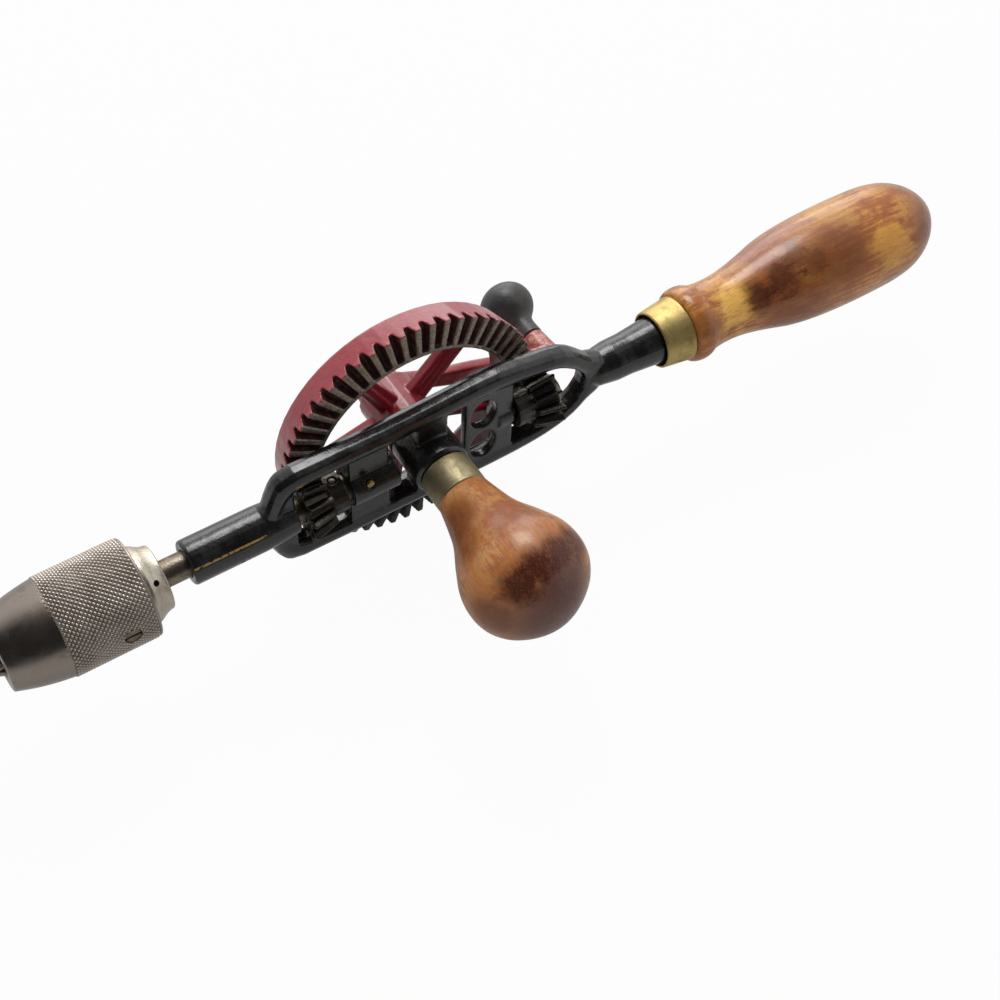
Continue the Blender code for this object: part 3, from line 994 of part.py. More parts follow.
def build_side_knob(parent, finishes):
    """The pear-shaped side knob, its ferrule and its stud; stations run towards -Y."""
    away = Matrix.Rotation(math.radians(90.0), 4, 'X')
    radii = (SIDE_FERRULE_RADIUS, SIDE_FERRULE_RADIUS)
    ferrule("side_ferrule", SIDE_FERRULE_FRONT, SIDE_FERRULE_REAR, radii, parent, away,
            finishes["brass"], lip=SIDE_STUD_RADIUS + GAP)
    stud = rod("side_stud", AXLE_ROOT + GAP, SIDE_STUD_END, SIDE_STUD_RADIUS, parent, away, helper=False)
    finish(stud, finishes["steel"])
    shoulder = SIDE_FERRULE_REAR + GAP
    length = SIDE_KNOB_END - shoulder
    spigot = SIDE_FERRULE_RADIUS - FERRULE_WALL - GAP
    body_shares = [(0.035, 0.452), (0.10, 0.490), (0.155, 0.520), (0.21, 0.557), (0.26, 0.608),
                   (0.31, 0.674), (0.36, 0.740), (0.415, 0.820), (0.465, 0.884), (0.515, 0.949),
                   (0.565, 0.976), (0.62, 0.996), (0.665, 0.998), (0.715, 0.984), (0.77, 0.952),
                   (0.815, 0.884), (0.865, 0.765), (0.91, 0.604), (0.955, 0.420), (0.985, 0.230)]
    bore = SIDE_STUD_RADIUS + GAP
    outer = [
        (SIDE_STUD_END + GAP, 0.0), (SIDE_STUD_END + GAP, bore), (SIDE_SPIGOT_FRONT, bore),
        (SIDE_SPIGOT_FRONT, spigot), (shoulder, spigot), (shoulder, SIDE_NECK_RADIUS - FERRULE_EDGE),
    ]
    outer += [(shoulder + along * length, radius * SIDE_KNOB_RADIUS) for along, radius in body_shares]
    outer += [(SIDE_KNOB_END, 0.0)]
    knob = turned("side_knob", outer, parent, away)
    return finish(knob, finishes["wood"], 50.0)


def main():
    """Build the drill."""
    finishes = build_materials()
    tool = add_empty("tool_frame", TOOL_ORIGIN)
    spindle_axis = add_empty("spindle_axis", Vector(), tool)
    sleeve_axis = add_empty("sleeve_axis", Vector(), spindle_axis)
    wheel_axis = add_empty("wheel_axis", Vector(), tool)
    knob_axis = add_empty("knob_axis", Vector((KNOB_X, 0.0, KNOB_Z)), wheel_axis)
    idler_axis = add_empty("idler_axis", Vector(), tool)
    jaw_slides = [add_empty("jaw_slide_%d" % (index + 1), Vector(), spindle_axis)
                  for index in range(JAW_COUNT)]
    build_frame(tool, finishes)
    build_bearings(tool, finishes)
    build_main_handle(tool, finishes)
    build_side_knob(tool, finishes)
    build_spindle(spindle_axis, finishes)
    build_chuck_body(spindle_axis, finishes)
    build_sleeve(sleeve_axis, finishes)
    build_jaws(jaw_slides, finishes)
    build_wheel(wheel_axis, finishes)
    build_crank(wheel_axis, finishes)
    build_crank_knob(knob_axis, finishes)
    build_pinion("idler_pinion", 1.0, idler_axis, finishes["steel"])


main()
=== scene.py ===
"""Looks of an old open-frame hand drill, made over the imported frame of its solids.

Lengths in this file are millimetres from the centre of the gear wheel, with X along the
spindle towards the main handle, Y along the gear's axle towards the crank, and Z up.
Only the studio's floor and lights are in metres.
"""
from __future__ import annotations

import json
import logging
import math
from dataclasses import dataclass
from enum import Enum
from typing import Callable, Sequence

import bmesh
import bpy
from mathutils import Matrix, Vector


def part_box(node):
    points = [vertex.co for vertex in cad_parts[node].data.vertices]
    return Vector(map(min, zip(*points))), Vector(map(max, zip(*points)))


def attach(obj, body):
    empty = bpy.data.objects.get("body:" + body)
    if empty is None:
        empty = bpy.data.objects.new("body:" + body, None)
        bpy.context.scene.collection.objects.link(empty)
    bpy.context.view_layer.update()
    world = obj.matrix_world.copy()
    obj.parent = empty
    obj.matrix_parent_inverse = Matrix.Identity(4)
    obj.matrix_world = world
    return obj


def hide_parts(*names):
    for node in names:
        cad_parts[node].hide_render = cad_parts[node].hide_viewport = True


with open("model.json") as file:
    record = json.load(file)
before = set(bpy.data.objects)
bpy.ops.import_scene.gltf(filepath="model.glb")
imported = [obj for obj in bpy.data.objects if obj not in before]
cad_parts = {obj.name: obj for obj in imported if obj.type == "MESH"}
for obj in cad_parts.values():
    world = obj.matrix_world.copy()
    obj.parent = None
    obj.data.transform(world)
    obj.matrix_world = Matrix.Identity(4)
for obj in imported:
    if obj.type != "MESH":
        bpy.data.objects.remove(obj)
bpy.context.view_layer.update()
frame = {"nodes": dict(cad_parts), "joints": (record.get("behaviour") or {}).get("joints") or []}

LOG = logging.getLogger("hand_drill")
MM = 0.001
TAU = 2.0 * math.pi
JOINTS = {joint["name"]: joint for joint in frame["joints"]}
CENTRE = Vector(JOINTS["crank_turn"]["pos_m"])
WHITE = (1.0, 1.0, 1.0)

Colour = tuple[float, float, float]
Knots = tuple[tuple[float, float], ...]
Profile = list[tuple[float, float]]
Relief = Callable[[float, float, float], float]
Material = bpy.types.Material
Piece = bpy.types.Object


class Axis(Enum):
    """Direction of a turned piece's stations: degrees and axis that turn the lathe's +Z there."""

    SPINDLE = (90.0, 'Y')
    GEAR = (-90.0, 'X')
    SIDE = (90.0, 'X')

    def turn(self) -> Matrix:
        """Give the rotation from the lathe's own +Z to this direction."""
        degrees, about = self.value
        return Matrix.Rotation(math.radians(degrees), 4, about)


class Shade:
    """An output of a graph's nodes, on which sums can be written."""

    def __init__(self, graph: Graph, socket: bpy.types.NodeSocket) -> None:
        """Wrap an output socket of a graph."""
        self.graph = graph
        self.socket = socket

    def _sum(self, operation: str, first: Shade | float, second: Shade | float) -> Shade:
        """Add one Math node for an operation on two values."""
        return self.graph.out("ShaderNodeMath", 0, {"operation": operation}, {0: first, 1: second})

    def __add__(self, other: Shade | float) -> Shade:
        """Add."""
        return self._sum('ADD', self, other)

    def __radd__(self, other: float) -> Shade:
        """Add to a number."""
        return self._sum('ADD', other, self)

    def __sub__(self, other: Shade | float) -> Shade:
        """Subtract."""
        return self._sum('SUBTRACT', self, other)

    def __rsub__(self, other: float) -> Shade:
        """Subtract from a number."""
        return self._sum('SUBTRACT', other, self)

    def __mul__(self, other: Shade | float) -> Shade:
        """Multiply."""
        return self._sum('MULTIPLY', self, other)

    def __rmul__(self, other: float) -> Shade:
        """Multiply a number."""
        return self._sum('MULTIPLY', other, self)

    def __pow__(self, power: float) -> Shade:
        """Raise to a power."""
        return self._sum('POWER', self, power)

    def __abs__(self) -> Shade:
        """Take the absolute value."""
        return self._sum('ABSOLUTE', self, 0.0)

    def __or__(self, other: Shade | float) -> Shade:
        """Take the larger of two masks."""
        return self._sum('MAXIMUM', self, other)


class Graph:
    """The nodes of one material, or of the world."""

    def __init__(self, owner: Material | bpy.types.World) -> None:
        """Empty the nodes of a material or world.

        Args:
            owner: The material or world.
        """
        self.owner = owner
        owner.use_nodes = True
        self.tree = owner.node_tree
        self.tree.nodes.clear()

    @classmethod
    def paint(cls, name: str) -> Graph:
        """Start an empty material."""
        return cls(bpy.data.materials.new(name))

    def node(self, kind: str, settings: dict | None = None, inputs: dict | None = None) -> bpy.types.Node:
        """Add a node.

        Args:
            kind: The node's type name.
            settings: Values of its own settings, which are set first.
            inputs: Values or Shades by socket number, name or identifier.

        Returns:
            The node.
        """
        made = self.tree.nodes.new(kind)
        for key, value in (settings or {}).items():
            setattr(made, key, value)
        for key, value in (inputs or {}).items():
            socket = self._find(made.inputs, key)
            if isinstance(value, Shade):
                self.tree.links.new(value.socket, socket)
            elif isinstance(value, (tuple, list)) and socket.type == 'RGBA':
                socket.default_value = (*value[:3], 1.0)
            else:
                socket.default_value = value
        return made

    def out(self, kind: str, output: int | str, settings: dict | None = None,
            inputs: dict | None = None) -> Shade:
        """Add a node and give one of its outputs."""
        return Shade(self, self._find(self.node(kind, settings, inputs).outputs, output))

    @staticmethod
    def _find(sockets: bpy.types.NodeInputs, key: int | str) -> bpy.types.NodeSocket:
        """Find a socket by its identifier, or else by its number or name."""
        named = {socket.identifier: socket for socket in sockets}
        return named.get(key) or sockets[key]

    def place(self) -> Shade:
        """Give the surface point in millimetres from the gear wheel's centre."""
        where = self.out("ShaderNodeTexCoord", "Object")
        return self.out("ShaderNodeVectorMath", 0, {"operation": 'MULTIPLY_ADD'}, {
            0: where, 1: Vector((1.0, 1.0, 1.0)) / MM, 2: -CENTRE / MM})

    def stretch(self, where: Shade, factors: Sequence[float]) -> Shade:
        """Scale a place along each axis."""
        return self.out("ShaderNodeVectorMath", 0, {"operation": 'MULTIPLY'}, {0: where, 1: factors})

    def parts(self, where: Shade) -> tuple[Shade, Shade, Shade]:
        """Split a place into its X, Y and Z."""
        made = self.node("ShaderNodeSeparateXYZ", None, {0: where})
        return tuple(Shade(self, socket) for socket in made.outputs)

    @staticmethod
    def distance(first: Shade, second: Shade) -> Shade:
        """Give the distance from an axis by its two coordinates."""
        return (first * first + second * second) ** 0.5

    def noise(self, where: Shade, scale: float, detail: float = 4.0, roughness: float = 0.6,
              distortion: float = 0.0) -> Shade:
        """Give fractal noise around 0.5.

        Args:
            where: The place, in millimetres.
            scale: Features per millimetre.
            detail: Octaves.
            roughness: Weight of the finer octaves.
            distortion: How far the pattern is bent.

        Returns:
            The noise value.
        """
        return self.out("ShaderNodeTexNoise", "Fac", None, {
            "Vector": where, "Scale": scale, "Detail": detail, "Roughness": roughness,
            "Distortion": distortion})

    def step(self, value: Shade, low: float, high: float, first: float = 0.0, last: float = 1.0) -> Shade:
        """Go smoothly from a first value at low to a last one at high, as a mask from 0 to 1 does."""
        return self.out("ShaderNodeMapRange", "Result", {"interpolation_type": 'SMOOTHSTEP'}, {
            "Value": value, "From Min": low, "From Max": high, "To Min": first, "To Max": last})

    def band(self, value: Shade, middle: float, half: float, soft: float) -> Shade:
        """Give a mask of 1 within half of middle, which fades out over soft."""
        return self.step(abs(value - middle), half + soft, half)

    def edges(self, low: float, high: float) -> Shade:
        """Give a mask from the surface's convexity: 0.5 is flat, more is an outer edge."""
        return self.step(self.out("ShaderNodeNewGeometry", "Pointiness"), low, high)

    def patch(self, where: Shade, wander: Shade, stain: StainAndLightPatch) -> Shade:
        """Mask a patch of tint, whose edge wanders with a noise around 0; patches are stains, painted sheen
        or painted shade.
        """
        apart = self.out("ShaderNodeVectorMath", "Value", {"operation": 'DISTANCE'},
                         {0: where, 1: stain.centre})
        return self.step(apart + wander, stain.reach * stain.rim, stain.reach * stain.core) * stain.amount

    def mix(self, factor: Shade | float, first: Shade | Colour, second: Shade | Colour) -> Shade:
        """Blend two colours."""
        return self.out("ShaderNodeMix", "Result_Color", {"data_type": 'RGBA'}, {
            "Factor_Float": factor, "A_Color": first, "B_Color": second})

    def bump(self, *layers: tuple[Shade, float]) -> Shade:
        """Give a normal from layers of relief.

        Args:
            *layers: Heights from 0 to 1, each with the millimetres that 1 stands for.

        Returns:
            The normal.
        """
        inputs = {"Strength": 1.0}
        for height, depth in layers:
            inputs |= {"Height": height, "Distance": depth * MM}
            inputs["Normal"] = self.out("ShaderNodeBump", "Normal", None, inputs)
        return inputs["Normal"]

    def close(self, **sockets: Shade | float | Colour) -> Material:
        """End a material in a Principled shader, whose inputs have _ for a space."""
        inputs = {key.replace("_", " "): value for key, value in sockets.items()}
        return self.end(self.out("ShaderNodeBsdfPrincipled", 0, None, inputs))

    def end(self, surface: Shade, kind: str = "ShaderNodeOutputMaterial") -> Material | bpy.types.World:
        """Send a shader to the output, and give the finished material or world."""
        self.node(kind, None, {"Surface": surface})
        return self.owner


@dataclass(frozen=True)
class StainAndLightPatch:
    """A patch of tint, full at core of its reach and gone at rim: stains that hands have darkened or rubbed
    pale, and also painted sheen, painted dark reflection and darker undersides.
    """

    centre: tuple[float, float, float]
    reach: float
    amount: float
    tint: Colour
    core: float = 0.35
    rim: float = 1.05

    @classmethod
    def rows(cls, *rows: tuple[float, float, float, float, float, Colour]) -> tuple[StainAndLightPatch, ...]:
        """Make stains from rows of X, Y, Z, reach, amount and tint."""
        return tuple(cls(row[:3], *row[3:]) for row in rows)


@dataclass(frozen=True)
class Stripe:
    """A painted line that runs along the spindle's direction, at an angle about its axis."""

    start: float
    end: float
    degrees: float
    half_width: float = 0.24
    soft: float = 0.25


@dataclass(frozen=True)
class JapanFinish:
    """Black baked enamel on cast iron, rubbed grey at its edges."""

    name: str
    black: Colour = (0.0055, 0.0052, 0.0050)
    dust: Colour = (0.036, 0.036, 0.033)
    rubbed: Colour = (0.17, 0.165, 0.155)
    gold: Colour = (0.36, 0.22, 0.07)
    grain_depth: float = 0.03
    cloud_depth: float = 0.35
    rough: float = 0.20
    coat: float = 0.25
    coat_rough: float = 0.2
    stripes: tuple[Stripe, ...] = ()

    def build(self) -> Material:
        """Make the material.

        Returns:
            The material.
        """
        graph = Graph.paint(self.name)
        where = graph.place()
        grain = graph.noise(where, 0.85, 5.0)
        cloud = graph.noise(where, 0.13)
        scuff = graph.noise(where, 0.42, 5.0, 0.7, 0.6)
        worn = graph.edges(0.51, 0.62) * graph.step(scuff, 0.44, 0.60)
        chips = graph.step(scuff, 0.70, 0.75) * graph.step(cloud, 0.55, 0.65)
        bare = worn * 0.5 | chips * 0.6
        colour = graph.mix(graph.step(cloud, 0.45, 0.72) * 0.35, self.black, self.dust)
        colour = graph.mix(bare * 0.75, colour, self.rubbed)
        for stripe in self.stripes:
            colour = graph.mix(self._line(graph, where, stripe), colour, self.gold)
        dulled = graph.step(cloud, 0.35, 0.75) * 0.12
        rough = self.rough + dulled + graph.step(scuff, 0.4, 0.7) * 0.06 + bare * 0.1
        return graph.close(
            Base_Color=colour, Roughness=rough, Metallic=bare * 0.5,
            Coat_Weight=self.coat - bare * self.coat, Coat_Roughness=self.coat_rough,
            Normal=graph.bump((grain, self.grain_depth), (cloud, self.cloud_depth)))

    @staticmethod
    def _line(graph: Graph, where: Shade, stripe: Stripe) -> Shade:
        """Mask one worn painted line.

        Args:
            graph: The material's graph.
            where: The surface point.
            stripe: The line.

        Returns:
            The mask.
        """
        angle = math.radians(stripe.degrees)
        along, side, up = graph.parts(where)
        across = up * math.cos(angle) - side * math.sin(angle)
        facing = side * math.cos(angle) + up * math.sin(angle)
        line = graph.band(across, 0.0, stripe.half_width, stripe.soft)
        reach = graph.band(along, 0.5 * (stripe.start + stripe.end),
                           0.5 * abs(stripe.end - stripe.start), 1.0)
        kept = graph.step(graph.noise(where, 0.75, 4.0, 0.7), 0.40, 0.52)
        return line * reach * kept * graph.step(facing, 0.0, 1.0)


@dataclass(frozen=True)
class EnamelFinish:
    """Red enamel over iron; on the wheel its teeth are bare, its slots greasy and darkened as painted shade,
    its rim's outside faded and paler as painted sheen, and its inner wall and lower front darkened.
    """

    name: str
    red: Colour = (0.25, 0.010, 0.021)
    faded_and_sheen: Colour = (0.30, 0.019, 0.031)
    rubbed: Colour = (0.42, 0.20, 0.18)
    primer: Colour = (0.42, 0.15, 0.07)
    iron: Colour = (0.27, 0.235, 0.21)
    inner_wall_dark: Colour = (0.060, 0.018, 0.018)
    slot_grease_and_shade: Colour = (0.020, 0.008, 0.006)
    rust: Colour = (0.09, 0.05, 0.035)
    tooth_dark: Colour = (0.17, 0.135, 0.11)
    tooth_light: Colour = (0.36, 0.32, 0.275)
    rough: float = 0.32
    gloss: float = 0.65
    coat_rough: float = 0.2
    shine: float = 0.3
    toothed: bool = False
    tip_slope: float = 0.1889
    root_slope: float = 0.2704
    teeth_inner: float = 37.0
    rim_outer: float = 46.5
    rim_front: float = 8.78
    rim_lean: float = 0.2222
    tint_patches: tuple[StainAndLightPatch, ...] = ()
    # The wheel's lower front is darkened to near black.
    darkening: StainAndLightPatch = StainAndLightPatch((-4.0, 9.0, -42.0), 24.0, 0.93, (0.010, 0.009, 0.008))

    def build(self) -> Material:
        """Make the material.

        Returns:
            The material.
        """
        graph = Graph.paint(self.name)
        where = graph.place()
        cloud = graph.noise(where, 0.10)
        scuff = graph.noise(where, 0.55, 5.0, 0.7, 0.4)
        fine = graph.noise(where, 1.4)
        worn = graph.edges(0.52, 0.62) * graph.step(scuff, 0.42, 0.60)
        chips = graph.step(scuff, 0.68, 0.72) * graph.step(cloud, 0.48, 0.58)
        colour = graph.mix(graph.step(cloud, 0.40, 0.66) * 0.55, self.red, self.faded_and_sheen)
        for stain in self.tint_patches:
            colour = graph.mix(graph.patch(where, (scuff - 0.5) * 14.0, stain), colour, stain.tint)
        colour = graph.mix((worn | chips) * 0.8, colour, graph.mix(fine, self.primer, self.iron))
        bare = worn * 0.5
        rough = self.rough + graph.step(cloud, 0.35, 0.7) * 0.12 + worn * 0.15
        gloss = self.gloss - worn * 0.5
        if self.toothed:
            along, side, up = graph.parts(where)
            radius = graph.distance(along, up)
            skin = self.rim_outer - (side - self.rim_front) * self.rim_lean - radius
            outside = graph.step(skin, 0.55, 0.15)
            in_teeth = graph.step(radius, self.teeth_inner - 1.4, self.teeth_inner - 0.9) * (1 - outside)
            front = side - radius * self.tip_slope
            tips = graph.step(front, 0.75, 0.45) * in_teeth
            slots = graph.step(front, 0.45, 0.75) * in_teeth \
                * graph.step(side - radius * self.root_slope, 0.35, 0.05)
            wall = graph.step(radius, self.teeth_inner + 1.6, self.teeth_inner + 0.2) \
                * graph.step(radius, self.teeth_inner - 4.5, self.teeth_inner - 3.0)
            scraped = graph.band(side, self.rim_front + 0.2, 0.9, 1.2) * graph.step(scuff, 0.35, 0.65)
            # Outside the rim the enamel is faded, and paler as a painted sheen.
            colour = graph.mix(outside * 0.6 * (1 - worn), colour,
                               graph.mix(scraped * 0.5, self.faded_and_sheen, self.rubbed))
            # The rim's inner wall is darkened to a dark maroon.
            colour = graph.mix(wall * 0.72, colour, self.inner_wall_dark)
            colour = graph.mix(tips, colour, graph.mix(graph.step(fine, 0.3, 0.7),
                                                       self.tooth_dark, self.tooth_light))
            # The slot floors get grease and rust, darkened as painted shade between the teeth.
            colour = graph.mix(slots * 0.95, colour, graph.mix(graph.step(scuff, 0.5, 0.7),
                                                               self.slot_grease_and_shade, self.rust))
            # Darken the wheel's lower front to near black.
            darkened_front = graph.patch(where, (scuff - 0.5) * 20.0, self.darkening)
            colour = graph.mix(darkened_front, colour, self.darkening.tint)
            bare = (tips * 0.85 | bare) * (1 - darkened_front)
            rough = rough + slots * 0.2 + tips * 0.1 + wall * 0.1
            gloss = gloss * (1 - tips) * (1 - slots)
        return graph.close(
            Base_Color=colour, Roughness=rough, Metallic=bare, Coat_Weight=gloss,
            Coat_Roughness=self.coat_rough, Specular_IOR_Level=self.shine,
            Normal=graph.bump((fine, 0.05), (cloud, 0.9)))


@dataclass(frozen=True)
class MetalFinish:
    """Bare or plated metal with stained patches, fine scratches, and dirt with painted shade in its corners.
    """

    name: str
    light: Colour
    stain: Colour
    dirt: Colour
    rough: float
    stain_amount: float
    dirt_and_shade_amount: float
    scratch_axis: tuple[float, float, float] = (2.6, 0.35, 0.35)
    grain_depth: float = 0.03

    def build(self) -> Material:
        """Make the material.

        Returns:
            The material.
        """
        graph = Graph.paint(self.name)
        where = graph.place()
        cloud = graph.noise(where, 0.16, 5.0, 0.65, 0.5)
        speck = graph.noise(where, 1.1, 5.0, 0.7)
        scratch = graph.noise(graph.stretch(where, self.scratch_axis), 1.3)
        tint_patches = graph.step(cloud, 0.42, 0.68) * self.stain_amount
        # Concave corners are darkened: dirt, and painted shade.
        corners = (1 - graph.edges(0.40, 0.492)) * self.dirt_and_shade_amount
        dirt_and_shade = corners | graph.step(speck, 0.62, 0.72) * self.dirt_and_shade_amount * 0.6
        colour = graph.mix(tint_patches, self.light, self.stain)
        colour = graph.mix(graph.step(scratch, 0.35, 0.75) * 0.35, colour, self.stain)
        colour = graph.mix(dirt_and_shade, colour, self.dirt)
        rough = self.rough + tint_patches * 0.16 + dirt_and_shade * 0.25 + (scratch - 0.5) * 0.12
        return graph.close(Base_Color=colour, Roughness=rough, Metallic=1 - dirt_and_shade * 0.75,
                           Normal=graph.bump((scratch, self.grain_depth), (cloud, 0.25)))


@dataclass(frozen=True)
class KnurlFinish:
    """The chuck sleeve: smooth worn nose, and a knurl with dirt in its valleys."""

    name: str
    steel: Colour = (0.37, 0.335, 0.30)
    brown: Colour = (0.19, 0.135, 0.108)
    crests: Colour = (0.62, 0.545, 0.475)
    dirt: Colour = (0.050, 0.028, 0.019)
    knurl_front: float = -128.6
    knurl_rear: float = -100.8
    crest: float = 16.3
    depth: float = 0.46
    rough: float = 0.27

    def build(self) -> Material:
        """Make the material.

        Returns:
            The material.
        """
        graph = Graph.paint(self.name)
        where = graph.place()
        along, side, up = graph.parts(where)
        cloud = graph.noise(where, 0.14, distortion=0.6)
        speck = graph.noise(where, 0.9, 5.0, 0.7)
        knurl = graph.step(along, self.knurl_front, self.knurl_front + 0.3) \
            * graph.step(along, self.knurl_rear, self.knurl_rear - 0.3)
        low = graph.step(graph.distance(side, up), self.crest - 0.12, self.crest - self.depth) * knurl
        browned = graph.step(cloud, 0.40, 0.70) * 0.7 | (1 - knurl) * 0.45
        colour = graph.mix(browned, self.steel, self.brown)
        colour = graph.mix(graph.step(speck, 0.55, 0.75) * 0.35, colour, self.brown)
        colour = graph.mix(knurl * 0.7, colour, self.crests)
        darkening = low * (0.70 + graph.step(cloud, 0.35, 0.6) * 0.26)
        colour = graph.mix(darkening, colour, self.dirt)
        rough = self.rough + graph.step(cloud, 0.3, 0.7) * 0.10 + knurl * 0.08 + darkening * 0.3 \
            + (speck - 0.5) * 0.1
        return graph.close(Base_Color=colour, Roughness=rough, Metallic=1 - darkening * 0.8,
                           Normal=graph.bump((speck, 0.03)))


@dataclass(frozen=True)
class WoodFinish:
    """Turned beech under old glossy varnish, stained in patches by hands, with some patches of painted sheen,
    a painted dark reflection on the knob and darker undersides.
    """

    name: str
    along: tuple[float, float, float]
    tint_patches: tuple[StainAndLightPatch, ...]
    gloss: float = 0.75
    ragged: float = 29.0
    rough: float = 0.42
    coat_rough: float = 0.22
    shine: float = 0.15
    ochre: Colour = (0.58, 0.26, 0.050)
    amber: Colour = (0.36, 0.105, 0.016)
    rose: Colour = (0.24, 0.058, 0.024)
    dark: Colour = (0.055, 0.012, 0.004)

    def build(self) -> Material:
        """Make the material.

        Returns:
            The material.
        """
        graph = Graph.paint(self.name)
        where = graph.place()
        lengthwise = graph.stretch(where, self.along)
        patches = graph.noise(where, 0.065, distortion=0.8)
        mottle = graph.noise(where, 0.30, 6.0, 0.75, 0.3)
        streaks = graph.noise(lengthwise, 0.50, 5.0, 0.66, 0.2)
        fibres = graph.noise(lengthwise, 2.0, 4.0, 0.65)
        specks = graph.noise(where, 0.9, 5.0, 0.75)
        wander = (streaks * 0.4 + patches * 0.3 + mottle * 0.3 - 0.5) * self.ragged
        colour = graph.mix(graph.step(streaks * 0.6 + patches * 0.4, 0.43, 0.57), self.ochre, self.amber)
        colour = graph.mix(graph.step(mottle, 0.47, 0.60) * 0.50, colour, self.rose)
        colour = graph.mix(graph.step(streaks, 0.46, 0.36) * 0.45, colour, self.ochre)
        for stain in self.tint_patches:
            colour = graph.mix(graph.patch(where, wander, stain), colour, stain.tint)
        colour = graph.mix(graph.step(fibres, 0.50, 0.66) * 0.35, colour, self.rose)
        colour = graph.mix(graph.step(specks, 0.60, 0.72) * 0.45, colour, self.dark)
        return graph.close(
            Base_Color=colour, Roughness=self.rough + (streaks - 0.5) * 0.3,
            Coat_Weight=self.gloss - graph.step(specks, 0.45, 0.70) * 0.25, Coat_Roughness=self.coat_rough,
            Specular_IOR_Level=self.shine, Normal=graph.bump((specks, 0.05), (patches, 0.5)))


